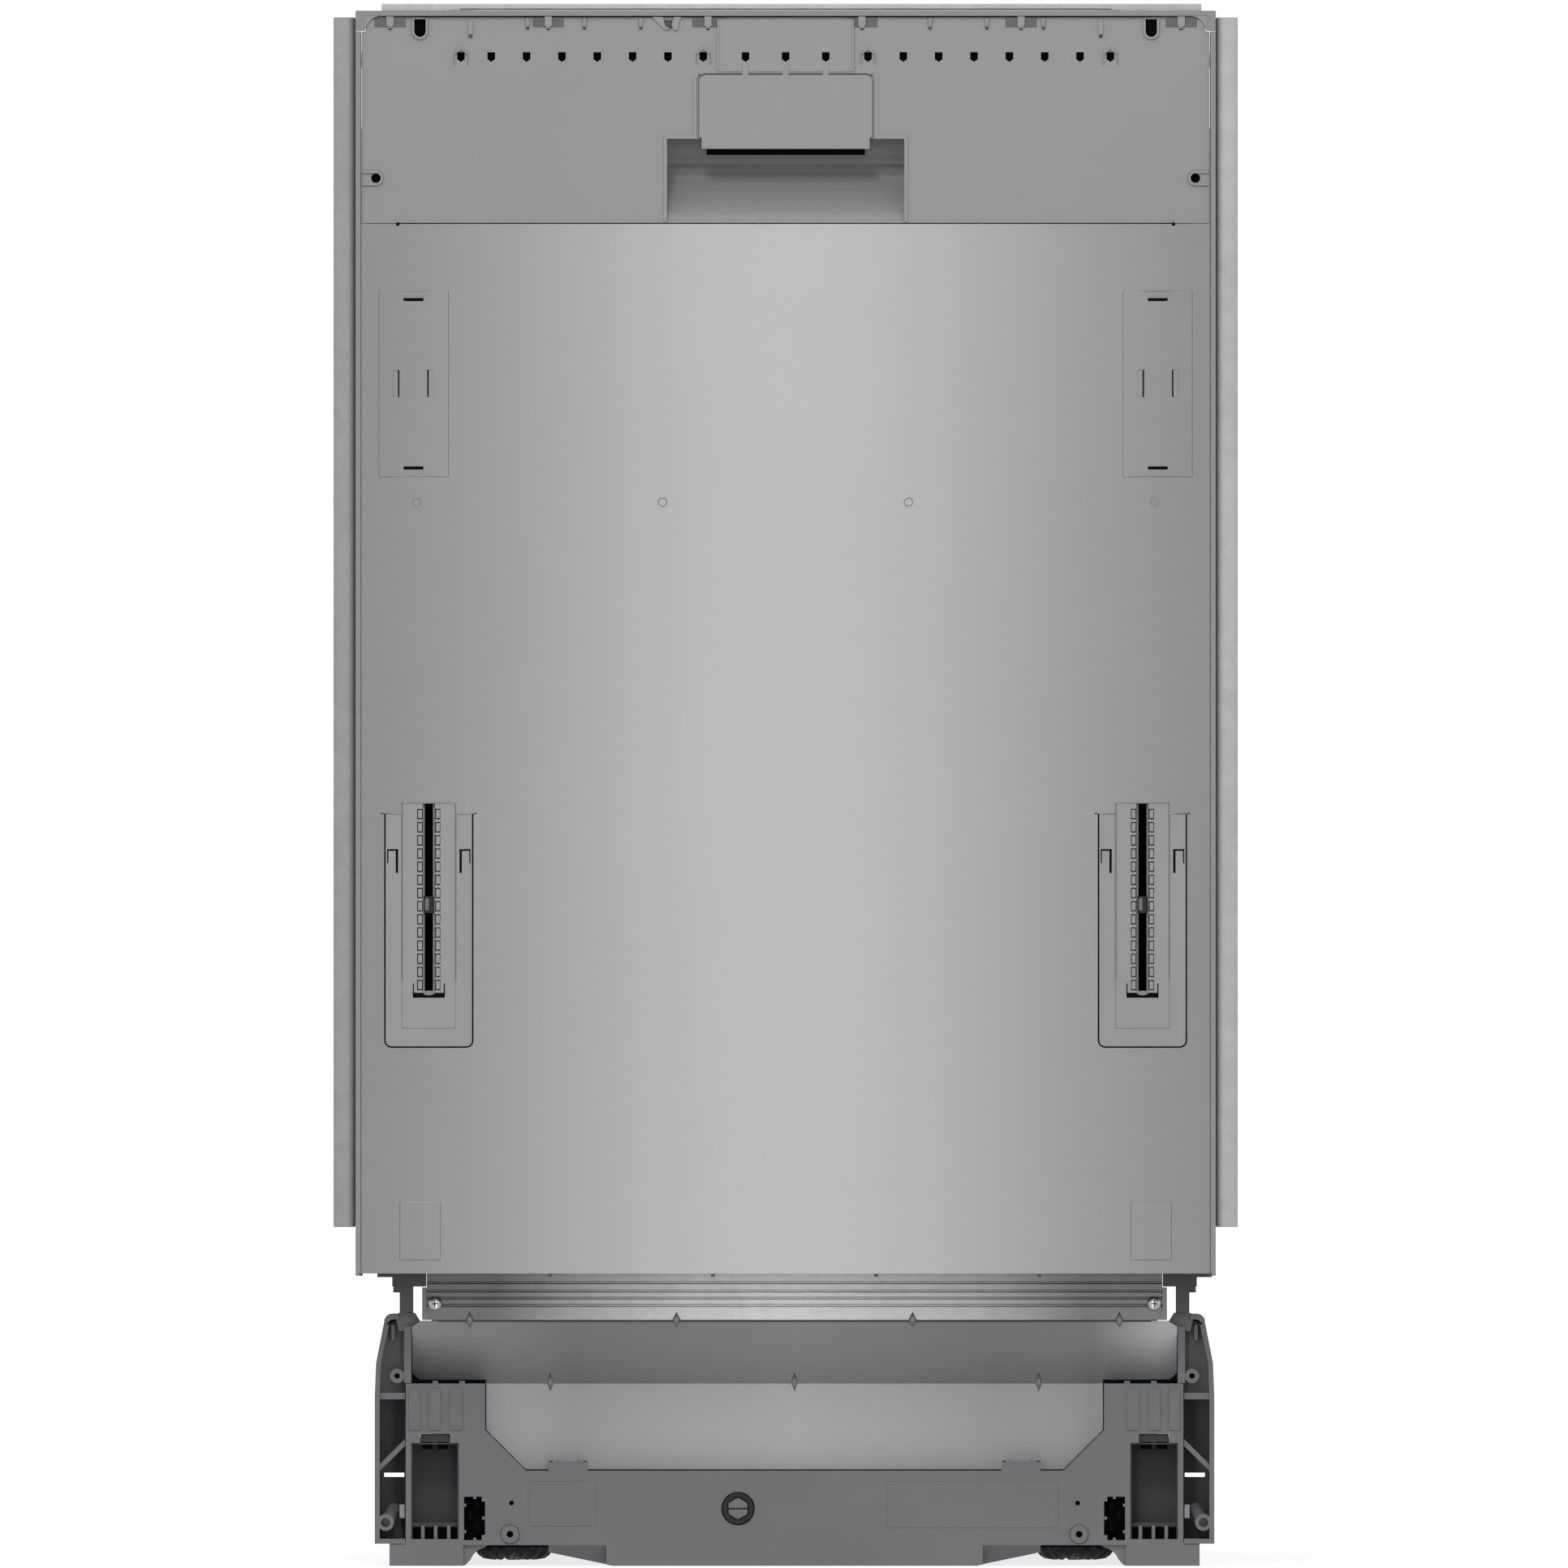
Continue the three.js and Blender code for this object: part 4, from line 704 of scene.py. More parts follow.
# ---------------------------------------------------------------- base: sheet metal
def crossmember_screws():
    """The two cross-head screws of the ribbed crossmember."""
    heads, slots = shapes(2, CROSS_FACE)
    for _, side in SIDES:
        x, z = BASE_MIDDLE + side * 187.6, 136.9
        head = [(0.01, 0.5), (3.7, 0.5), (3.7, -0.6), (3.3, -1.5), (2, -2), (0.01, -2.1)]
        heads.lathe("y", (x, 0, z), head, 24)
        slots.cross(x, z, -2.2, -1.6, 0.3, 1.7)
    heads.piece("crossmember_screws", "cabinet", "screw", 0)
    slots.piece("crossmember_screw_slots", "cabinet", "socket_grey", 0)


def gusset(shape, u, y, z, up, down):
    """A pressed diamond across a bend: up and down are its tips as (y, z) away from the bend."""
    x = BASE_MIDDLE + u
    mesh = shape.mesh
    tip = mesh.verts.new(Vector((x, y - 1.1, z)) * MM)
    rim = [(x, y + up[0], z + up[1]), (x - 2.3, y + 0.4, z), (x, y + down[0], z + down[1]),
           (x + 2.3, y + 0.4, z)]
    rim = [mesh.verts.new(Vector(p) * MM) for p in rim]
    back = mesh.verts.new(Vector((x, y + 2, z)) * MM)
    faces = []
    for i in range(4):
        a, b = rim[i], rim[(i + 1) % 4]
        faces.append(mesh.faces.new((a, b, tip)))
        faces.append(mesh.faces.new((b, a, back)))
    bmesh.ops.recalc_face_normals(mesh, faces=faces)


def gussets():
    """The diamonds pressed across the two bends of the toe plate, and the dark joint behind the upper one."""
    shape = Shape()
    for u in (-169.5, -61.6, 61.6, 169.5):
        gusset(shape, u, CROSS_FACE, 128.4, (0.2, 4.2), (3.4, -4.2))
    for u in (-127.5, 0, 127.5):
        gusset(shape, u, -200, 94.8, (-4.9, 5.6), (0.2, -5))
    shape.piece("pressed_gussets", "cabinet", "rail", 0, slot="galvanised")
    joint = Shape()
    joint.slab(BASE_MIDDLE, 186, CROSS_FACE + 0.6, CROSS_FACE + 3, 127.4, 129.6)
    joint.piece("crossmember_joint", "cabinet", "socket_grey", 0, slot="galvanised")


# ---------------------------------------------------------------- base: moulding details
def window_shade_blocks(shape, side):
    """Black blocks inside the small upright window beside the pocket: painted shade in the opening."""
    shape.box(side * 161.7, side * 172.4, 7, 11, 13.5, 36)
    for u, z in ((165.6, 19.5), (169.4, 26), (165.6, 31)):
        x = side * u
        shape.slab(x, 1.4, 3, 8, z - 2.2, z + 2.2)


def pocket_lining(lining, slots, side):
    """The pocket's darker lining, the sill across it and black slots between its fins, all painted shade in
    and over the pocket.
    """
    lining.box(side * 175.3, side * 200, 26, 27.6, 14, 64)
    for u0, u1 in ((175.25, 175.9), (199.4, 200.05)):
        lining.box(side * u0, side * u1, 1.2, 26, 14, 64)
    lining.box(side * 175.9, side * 199.4, 1.4, 26, 63.4, 64.05)
    lining.box(side * 175.9, side * 199.4, 8, 9.4, 20.2, 22.4)
    lining.box(side * 179.9, side * 195.3, 3.4, 4.6, 64.2, 68.8)
    for u0, u1 in ((188.9, 194.5), (180.7, 186.3)):
        slots.box(side * u0, side * u1, 2, 3, 63, 64.6)
        slots.box(side * u0, side * u1, 9, 10, 60.8, 63.4)
    slots.box(side * 175.95, side * 199.35, 9, 10, 14, 20.2)


def base_details():
    """Small mouldings on the base frame: lugs, catches and rings, with black blocks in its hollows and a
    darker pocket lining, painted shade.
    """
    lugs, dark, hollows, lining, rings = shapes(5, BASE_FACE, BASE_MIDDLE)
    for _, side in SIDES:
        pocket_lining(lining, hollows, side)
        for u, z in ((166.9, 35.6), (172.1, 31.6), (162.3, 24.9), (172.1, 17.8), (166.9, 13.9)):
            lugs.slab(side * u, 0.8, 0.3, 3, z - 0.8, z + 0.8)
        rings.ring("y", (side * 148.5, 0.05, 16.5), 4.35, 5.0, 0.5, 36)
        rings.ring("y", (side * 148.5, 0.05, 16.5), 1.75, 2.6, 0.5, 28)
        for fin in (180.5, 187.3, 194):
            lugs.slab(side * fin, 0.95, 1.2, 8.5, 13.6, 21)
        for u0, u1 in ((186, 189), (172, 175)):
            lugs.box(side * u0, side * u1, 0.4, 3, 94.8, 96.5)
        hollows.box(side * 161.8, side * 199, 6, 7, 94, 96.9)
        for u in (112.6, 123.6):
            lugs.rod("y", (side * u, 2, 54.4), 0.9, 3.6, 12)
        for u in (109.4, 127.2):
            dark.slab(side * u, 1.1, 0.2, 3.8, 54, 54.9)
        # the web that stiffens the skid under the foot
        web = [(173.4, 0.2), (173.4, 10.9), (160, 10.9), *arc(160, 0, 9.6, 78, 20, 5), (171.9, 0.2)]
        lugs.prism("y", [(side * u, z) for u, z in web], 2, 8)
        window_shade_blocks(hollows, side)
        # a black back for the gap beside the tower's inner edge, painted shade in the gap
        hollows.box(side * 158.5, side * 163, -198 - BASE_FACE, -194 - BASE_FACE, 66, 95)
    for u0, u1, z0, z1 in ((-138.9, -103.7, 20.7, 44), (48.2, 137.6, 19.9, 44)):
        lugs.prism("y", rounded(u0, u1, z0, z1, 0.8), -0.3, 0.5)
    lugs.piece("base_lugs", "cabinet", "base", 0.18)
    dark.piece("base_catches", "cabinet", "black", 0.15)
    hollows.piece("base_hollows", "cabinet", "shadow", 0)
    lining.piece("pocket_linings", "cabinet", "pocket", 0.1)
    rings.piece("boss_rings", "cabinet", "pocket", 0)


def adjuster_head():
    """The key socket of the rear foot's shaft: a ring, and a hexagon with a screwdriver slot."""
    face = span("rear_foot_shaft")[0].y
    x, z = BASE_MIDDLE - 29.5, 29.9
    ring = Shape(face)
    ring.ring("y", (x, 0.4, z), 5.9, 8.2, 1.6, 40)
    ring.piece("adjuster_ring", "rear_foot_shaft", "black", 0.3)
    insert = Shape(face)
    insert.prism("y", [(x + p, z + q) for p, q in circle(5.7, 6, math.pi / 6)], 0.3, 2)
    insert.piece("adjuster_hexagon", "rear_foot_shaft", "base", 0.2)
    slot = Shape(face)
    slot.slab(x, 4.9, 0.2, 1, z - 0.45, z + 0.45)
    slot.piece("adjuster_slot", "rear_foot_shaft", "black", 0)


def foot_knobs():
    """Levelling feet with scalloped rims to turn by hand, on a screw thread."""
    lobes, turns = 14, 30
    # each ring of the knob: its height, radius, depth of the scallops, and how far they rise
    knob_rings = ((2.25, 11, 3.0, 2.6), (3.0, 16, 3.4, 2.4), (4.6, 18.4, 3.2, 1.2), (6.6, 19.8, 2.6, 0),
                  (8.6, 20.3, 1.8, 0), (10.6, 20.3, 1.2, 0))
    for name, _ in SIDES:
        low, high = span(f"front_foot_{name}")
        x, y = (low.x + high.x) / 2, (low.y + high.y) / 2
        knob = Shape(y, x)
        rings = []
        for z, r, depth, lift in knob_rings:
            ring = []
            for i in range(lobes * 8):
                a = 2 * math.pi * i / (lobes * 8)
                notch = (0.5 - 0.5 * math.cos(lobes * a)) ** 2
                reach = r - depth * notch
                ring.append((reach * math.cos(a), reach * math.sin(a), z + lift * notch))
            rings.append(ring)
        knob.loft(rings)
        knob.rod("z", (0, 0, 11.4), 12, 1.6, 32)
        pitch = (high.z - 12.5) / turns
        thread = [(0.01, 12), (7, 12)]
        for i in range(turns):
            thread += [(7, 12.2 + pitch * i), (6.3, 12.2 + pitch * (i + 0.5))]
        thread += [(6.6, high.z - 0.2), (5.8, high.z), (0.01, high.z)]
        knob.lathe("z", (0, 0, 0), thread, 24)
        knob.piece(f"foot_knob_{name}", f"front_foot_{name}", "black", 0,
                   replaces=(f"front_foot_{name}",))


def wing_details():
    """The rims, tubes and tabs of the base wings."""
    rims, tabs = shapes(2, BASE_FACE, BASE_MIDDLE)
    for _, side in SIDES:
        rims.ring("y", (side * 207.4, 1.6, 99.1), 2.0, 3.9, 3, 24)
        rims.ring("y", (side * 213.4, 1.6, 22.6), 2.8, 4.4, 3, 24)
        x = side * 209.6
        rims.prism("y", rounded(x - 1, x + 1, 117.5, 126, 0.9), 4, 36)
        tabs.box(side * 203.4, side * 206.2, 3, 20, 24.8, 32)
        rims.tube([(side * 213, 2.6, 22.9), (side * 209, 16, 29.5)], 3.6, 16)
    rims.piece("wing_rims", "cabinet", "base", 0.25)
    tabs.piece("wing_tabs", "cabinet", "fascia", 0.25)


# ---------------------------------------------------------------- racks and basket
RACK_HALF = 188.0
WIRE = 1.7
RIM = 2.2


def rim(shape, half, y0, y1, z, r):
    """A closed wire round the basket at one height."""
    start = (0, y0, z)
    shape.tube(bent([start, (half, y0, z), (half, y1, z), (-half, y1, z), (-half, y0, z), start], 16, 4), r)


def wire_basket(shape, y0, y1, z0, z1, bands, across, along):
    """Welded wires: U shapes both ways under round rims."""
    outer = RACK_HALF - RIM
    inner = outer - RIM
    for z in bands:
        rim(shape, outer, y0 + RIM, y1 - RIM, z, RIM)
    front, back = y0 + 2 * RIM, y1 - 2 * RIM
    for y in spaced(y0 + 22, y1 - 22, across):
        floor = z0 + 3 * WIRE - 0.5
        shape.tube(bent([(-inner, y, z1), (-inner, y, floor), (inner, y, floor), (inner, y, z1)], 12), WIRE)
    for x in spaced(-outer + 20, outer - 20, along):
        floor = z0 + WIRE + 0.1
        shape.tube(bent([(x, front, z1), (x, front, floor), (x, back, floor), (x, back, z1)], 12), WIRE)


def rack_grip(name, y0, top):
    """The plastic handle clipped over a rack's front rim."""
    grip = Shape(y0)
    hook = [(6.5, -1), (0.4, -2.4), (0.4, -16), (2.4, -16), (2.6, -5), (6.5, -4.4)]
    grip.prism("x", [(y, top + z) for y, z in hook], -56, 56)
    grip.piece(f"{name}_grip", name, "pale", 0.6)


def tine(shape, x, y, z, height, lean):
    """A leaning wire peg with a rounded tip."""
    shape.tube([(x, y, z), (x + lean * 0.3, y, z + height * 0.5), (x + lean, y, z + height - 2)], 1.6)
    shape.rod("z", (x + lean, y, z + height - 1), 1.6, 2, 10, 0.7)


def lower_rack():
    """The lower rack of coated wire, its wheel carriers and its grip."""
    wires = Shape()
    y0, y1, top = RACK_LOW.y, RACK_HIGH.y, RACK_HIGH.z
    wire_basket(wires, y0, y1, 200, top - RIM, (top - RIM, 268), 13, 9)
    for y in spaced(y0 + 55, y1 - 30, 10):
        tine(wires, 12, y, 205, 58, -5)
    wires.tube([(12, y0 + 20, 206.5), (12, y1 - 20, 206.5)], WIRE)
    wires.piece("lower_rack_wires", "lower_rack", "wire", 0, replaces=("lower_rack",))
    carriers = Shape()
    wheel_low, wheel_high = span("rack_wheel_front_left")
    axle_z = (wheel_low.z + wheel_high.z) / 2
    for name, side in SIDES:
        for end in ("front", "rear"):
            low, high = span(f"rack_wheel_{end}_{name}")
            y = (low.y + high.y) / 2
            bow = axle_z + 2
            plate = [(y - 8, 221), (y - 8, bow), *arc(y, bow, 6, 180, 360, 8), (y + 8, bow), (y + 8, 221)]
            carriers.prism("x", plate, side * 184.4, side * 189)
            carriers.rod("x", (side * 191.5, y, axle_z), 3, 7, 20)
            carriers.rod("x", (side * 188.8, y, 212), 1.8, 1.6, 12)
    carriers.piece("wheel_carriers", "lower_rack", "pale", 0.5)
    rack_grip("lower_rack", y0, top)


def folding_tines():
    """The row of pegs that folds down, and its two clips."""
    low, high = span("tine_row")
    x = (low.x + high.x) / 2
    row = Shape()
    row.tube([(x, low.y + 0.5, 210), (x, high.y - 0.5, 210)], 2)
    for y in spaced(low.y + 12, high.y - 12, 11):
        tine(row, x, y, 210, high.z - 210, 0)
    row.piece("folding_tine_wires", "tine_row", "wire", 0, replaces=("tine_row",))
    clips = Shape()
    for y in (low.y + 24, high.y - 24):
        clips.ring("y", (x, y, 210), 2.2, 4.2, 9, 20)
        clips.slab(x, 2.6, y - 4.5, y + 4.5, 203.5, 207.6)
    clips.piece("tine_clips", "lower_rack", "pale", 0.4)


def cutlery_lattice():
    """The cutlery basket: open lattice walls, two partitions and a handle."""
    low, high = span("cutlery_basket")
    x0, x1, y0, y1, z0, z1 = low.x, high.x, low.y, high.y, low.z + 1.6, high.z
    basket = Shape()
    for x in (x0, x1 - 3):
        for y in (y0, y1 - 3):
            basket.box(x, x + 3, y, y + 3, z0, z1)
    bands = ((z0, z0 + 5), (z0 + 30, z0 + 33), (z0 + 62, z0 + 65), (z1 - 7, z1))
    for a, b in bands:
        for x in (x0, x1 - 2):
            basket.box(x, x + 2, y0 + 1, y1 - 1, a, b)
        for y in (y0, y1 - 2):
            basket.box(x0 + 1, x1 - 1, y, y + 2, a, b)
    for y in spaced(y0 + 10, y1 - 12, 22):
        for x in (x0 + 0.2, x1 - 2):
            basket.box(x, x + 1.8, y, y + 2.2, z0 + 2, z1 - 3)
    for x in spaced(x0 + 10, x1 - 12, 8):
        for y in (y0 + 0.2, y1 - 2):
            basket.box(x, x + 2.2, y, y + 1.8, z0 + 2, z1 - 3)
        basket.box(x, x + 2.2, y0 + 1, y1 - 1, z0, z0 + 2)
    for y in spaced(y0 + 10, y1 - 12, 18):
        basket.box(x0 + 1, x1 - 1, y, y + 2.2, z0 + 0.2, z0 + 2.2)
    middle = (x0 + x1) / 2
    for y in spaced(y0 + 42, y1 - 42, 3):
        basket.box(x0 + 1, x1 - 1, y - 1, y + 1, z0 + 2, z1 - 18)
    centre = (y0 + y1) / 2
    crown = [(y0 + 2, z0 + 3), (y1 - 2, z0 + 3), (y1 - 2, z1 - 6), (centre + 52, z1 - 6),
             (centre + 46, z1 + 16), *arc(centre + 34, z1 + 18, 9, 0, 90, 5),
             *arc(centre - 34, z1 + 18, 9, 90, 180, 5), (centre - 46, z1 + 16), (centre - 52, z1 - 6),
             (y0 + 2, z1 - 6)]
    basket.prism("x", crown, middle - 1.2, middle + 1.2)
    basket.prism("x", rounded(centre - 40, centre + 40, z1 + 17, z1 + 27, 5), middle - 5, middle + 5)
    basket.piece("cutlery_lattice", "lower_rack", "pale", 0.3, replaces=("cutlery_basket",))


def upper_rack():
    """The upper rack of coated wire, its runners, its feed pipe and its grip."""
    y0, y1, z0, top = CUP_LOW.y, CUP_HIGH.y, 440, CUP_HIGH.z
    wires = Shape()
    wire_basket(wires, y0, y1, z0, top - RIM, (top - RIM, 496), 12, 8)
    for x in (-70, 52):
        wires.tube([(x, y0 + 16, z0 + 6.4), (x, y1 - 16, z0 + 6.4)], WIRE)
        for y in spaced(y0 + 40, y1 - 40, 9):
            tine(wires, x, y, z0 + 6, 44, 7)
    wires.piece("upper_rack_wires", "upper_rack", "wire", 0, replaces=("upper_rack",))
    runners = Shape()
    for _, side in SIDES:
        runners.prism("x", rounded(y0 + 6, y1 - 5, 502.4, 515.6, 3), side * 184.6, side * 197.6)
        runners.prism("x", rounded(y0 + 6, y1 - 5, 505, 513, 3), side * 197.4, side * 203)
        for y in (y0 + 18, y0 + 60, y1 - 60, y1 - 18):
            runners.rod("x", (side * 200.2, y, 509), 7.2, 5, 24)
    runners.piece("rack_runners", "upper_rack", "pale", 0.6)
    feed = Shape()
    feed.lathe("z", (0, 0, 0), [(6, 433.6), (15.6, 433.6), (16, 437), (12, 445), (9, 452), (6, 452)], 36)
    feed.tube(bent([(0, 0, 444), (0, 0, 456), (0, y1 + 6, 456)], 9, 5), 8, 16)
    feed.ring("y", (0, y1 + 6, 456), 7, 12, 8, 28)
    feed.piece("upper_feed_pipe", "upper_rack", "arm", 0.4)
    rack_grip("upper_rack", y0, top)


# ---------------------------------------------------------------- spray arms
NOZZLES = (0.30, 0.45, 0.60, 0.74, 0.88, -0.36, -0.52, -0.67, -0.81, -0.93)  # shares of the arm's reach


def spray_arm(name, reach, y, z, twist):
    """A hollow blade that thins towards its tips, with raised nozzles and a round hub."""
    turn = Matrix.Rotation(twist, 3, "Z")
    centre = Vector((0, y, z + 6))

    def put(p):
        return centre + turn @ Vector(p)

    blade = Shape()
    rings = []
    for t in spaced(-1, 1, 33):
        along = reach * 0.995 * math.sin(t * math.pi / 2)
        share = abs(along) / reach
        half_width = (21.5 - 6.5 * share) * max(0.12, (1 - share ** 9) ** 0.5)
        half_height = (5.6 - 1.6 * share) * max(0.2, (1 - share ** 12) ** 0.5)
        ring = []
        for a in spaced(0, 2 * math.pi, 21)[:-1]:
            c, d = math.cos(a), math.sin(a)
            ring.append(put((along, half_width * math.copysign(abs(c) ** 0.7, c),
                             half_height * math.copysign(abs(d) ** 0.8, d))))
        rings.append(ring)
    blade.loft(rings)
    jets = Shape()
    for along in NOZZLES:
        offset = 5 if int(abs(along) * 100) % 2 else -5
        spot = put((along * reach, offset, 0))
        blade.rod("z", (spot.x, spot.y, spot.z + 5), 4.2, 3, 20, 2.6)
        jets.box(spot.x - 1.5, spot.x + 1.5, spot.y - 0.7, spot.y + 0.7, spot.z + 6, spot.z + 6.62)
    hub = [(0.01, -4.8), (19.6, -4.8), (20, -3), (20, 8), (17, 12), (9, 12.9), (0.01, 12.9)]
    blade.lathe("z", (0, y, 0), [(r, z + rise) for r, rise in hub], 48)
    blade.piece(f"{name}_blade", name, "arm", 0.25, slot="coated_wire", replaces=(name,))
    jets.ring("z", (0, y, z + 12.6), 5, 6.4, 0.8, 28)
    jets.piece(f"{name}_jets", name, "shadow", 0)


# ---------------------------------------------------------------- inside the tub and the door
def bead_loop(shape, x0, x1, z0, z1, y, r, corner):
    """A pressed bead round a rectangle on a face square to y."""
    start = ((x0 + x1) / 2, y, z0)
    shape.tube(bent([start, (x1, y, z0), (x1, y, z1), (x0, y, z1), (x0, y, z0), start], corner, 5), r)


def knurl(name, body, axis, centre, r, count, rib, length, material):
    """Small ribs round a turned part."""
    ribs = Shape()
    first, second, along = AXES[axis]
    a, b, c = centre[first], centre[second], centre[along]
    for p, q in circle(r, count):
        ribs.rod(axis, on_axis(axis, a + p, b + q, c), rib, length, 8)
    ribs.piece(name, body, material, 0)


def middle_of(node):
    """The middle of a CAD node in millimetres."""
    low, high = span(node)
    return (low + high) / 2


def door_inside():
    """Beads and screws on the inner side of the door."""
    beads = Shape(INNER_FACE)
    bead_loop(beads, -196, 196, 186, 768, 0, 2.2, 24)
    bead_loop(beads, -160, 160, 214, 400, 0, 1.8, 18)
    bead_loop(beads, -120, 110, 424, 586, 0, 1.5, 12)
    for z in (620, 660, 700):
        beads.tube([(-150, 0, z), (150, 0, z)], 1.6)
    beads.piece("door_panel_pressings", "door", "stainless", 0)
    head = [(0.01, -0.5), (3.2, -0.5), (3.2, 0.3), (2.4, 1.3), (0.01, 1.5)]
    screws, slots = shapes(2, INNER_FACE)
    for _, side in SIDES:
        for z in spaced(196, 780, 6):
            screws.lathe("y", (side * 203.4, 0, z), head, 20)
            slots.cross(side * 203.4, z, 1, 1.6, 0.3, 1.6)
    screws.piece("door_screws", "door", "screw", 0, slot="motor_steel")
    slots.piece("door_screw_slots", "door", "shadow", 0)


def dispenser_details():
    """The dispenser's frame bead, lid seal and ribs, rinse-aid window and cap."""
    low, high = span("dispenser_body")
    lid_low, lid_high = span("dispenser_lid")
    frame_bead = Shape(high.y)
    bead_loop(frame_bead, low.x + 4, high.x - 4, low.z + 1.5, high.z - 4, 0, 1.3, 8)
    frame_bead.piece("dispenser_frame", "door", "pale", 0.35)
    seal = Shape(high.y)
    seal.prism("y", rounded(lid_low.x - 1.4, lid_high.x + 1.4, lid_low.z - 1.4, 562.4, 4), -0.3, 0.22)
    seal.piece("dispenser_seal", "door", "rubber", 0.08)
    ribs = Shape(lid_low.y)
    for z in (503, 510, 517, 524):
        ribs.box(lid_low.x + 8, lid_high.x - 8, 2.2, 3.1, z, z + 2)
    ribs.piece("dispenser_lid_ribs", "dispenser_lid", "pale", 0.3)
    window = Shape(high.y)
    window.lathe("y", (44, 0, 474), [(0.01, -0.4), (7, -0.4), (7, 0.4), (5, 1), (0.01, 1.2)], 28)
    window.piece("rinse_aid_window", "door", "glass", 0.1)
    cap = middle_of("rinse_aid_cap")
    rim_face = span("rinse_aid_cap")[0].y + 1.5
    knurl("rinse_cap_knurl", "rinse_aid_cap", "y", (cap.x, rim_face, cap.z), 16.6, 24, 0.9, 2.8, "pale")


def lock_details():
    """Rivets and folded edges of the door lock."""
    low, high = span("door_lock")
    middle = middle_of("door_lock")
    plate = Shape(high.y)
    for x in (-19, 19):
        plate.rod("y", (middle.x + x, 0.3, middle.z), 2.6, 1.2, 20)
    for z in (low.z + 2.2, high.z - 2.2):
        plate.box(low.x + 4, high.x - 4, -0.2, 0.35, z - 0.5, z + 0.5)
    plate.piece("lock_rivets", "door", "motor", 0.2)


def tub_inside():
    """Tub pressings, the rear feed pipe, the side vent, the threshold seal and the filters' ribs."""
    ribs = Shape()
    wall, feed_z = 206, 456
    vent_y, vent_z = 40, 415
    for z in (250, 350, 372, 610, 660, 710):
        for _, side in SIDES:
            ribs.tube([(side * wall, -206, z), (side * wall, 214, z)], 1.9)
    for x in (-110, 110):
        ribs.tube([(x, 238, 250), (x, 238, 740)], 2.2)
    ribs.piece("tub_pressings", "cabinet", "stainless", 0)
    pipe = Shape()
    pipe.tube(bent([(0, 229, 176), (0, 229, feed_z), (0, 216, feed_z)], 6, 4), 7.5, 16)
    pipe.ring("y", (0, 212, feed_z), 6.4, 10.6, 9, 28)
    for z in (250, 360):
        pipe.box(-13, 13, 227, 237.6, z - 5, z + 5)
    pipe.box(-22, 22, 220, 237.6, 164, 178)
    pipe.piece("rear_feed_pipe", "cabinet", "arm", 0.4)
    vent = Shape()
    for r in (14, 22, 30):
        vent.ring("x", (204.6, vent_y, vent_z), r - 2.6, r, 2.6, 40)
    vent.ring("x", (204.4, vent_y, vent_z), 33, 37, 3.4, 48)
    for a in spaced(0, math.pi, 5)[:-1]:
        c, d = 33 * math.cos(a), 33 * math.sin(a)
        vent.tube([(204.4, vent_y - c, vent_z - d), (204.4, vent_y + c, vent_z + d)], 1.2)
    vent.piece("tub_side_vent", "cabinet", "arm", 0.2)
    sill = Shape()
    sill.tube([(-164, -232.2, 172), (164, -232.2, 172)], 1.7)
    sill.box(-164, 164, -231.6, -229.8, 168.4, 176)
    sill.piece("threshold_seal", "cabinet", "rubber", 0.2)
    plate_rim = Shape()
    plate_rim.ring("z", (0, -40, 160.4), 82, 89.4, 1.2, 64)
    plate_rim.piece("filter_plate_rim", "cabinet", "stainless", 0.2)
    for name, node, r, z, rib, length in (("filter_knurl", "filter_cylinder", 34.2, 164.6, 1.0, 2.4),
                                          ("salt_cap_knurl", "salt_cap", 33.4, 165, 1.0, 4.6)):
        middle = middle_of(node)
        knurl(name, node, "z", (middle.x, middle.y, z), r, 30, rib, length, "white")


# ---------------------------------------------------------------- outside: felt, back and base
def tub_felt():
    """Sound-deadening felt glued round the tub, with stitched lanes."""
    felt_shape = Shape()
    outer, inner, top = 213.4, 207.8, 809.4
    bend = outer - 32
    path_out = [(outer, 190), *arc(bend, top - 32, 32, 0, 90, 8), *arc(-bend, top - 32, 32, 90, 180, 8),
                (-outer, 190)]
    bend, inner_top = inner - 28, 803.8 - 28
    path_in = [(-inner, 190), *reversed(arc(-bend, inner_top, 28, 90, 180, 8)),
               *reversed(arc(bend, inner_top, 28, 0, 90, 8)), (inner, 190)]
    outline = path_out + path_in
    edges = spaced(-160, 232, 5)
    for y0, y1 in zip(edges, edges[1:]):
        felt_shape.prism("y", outline, y0 + 1.4, y1 - 1.4)
    felt_shape.piece("tub_felt", "cabinet", "felt", 1.0)
    side = Shape()
    for sign in (-1, 1):
        side.box(sign * inner, sign * outer, -228, -162, 190, 780)
    side.piece("tub_side_felt", "cabinet", "felt", 1.0)


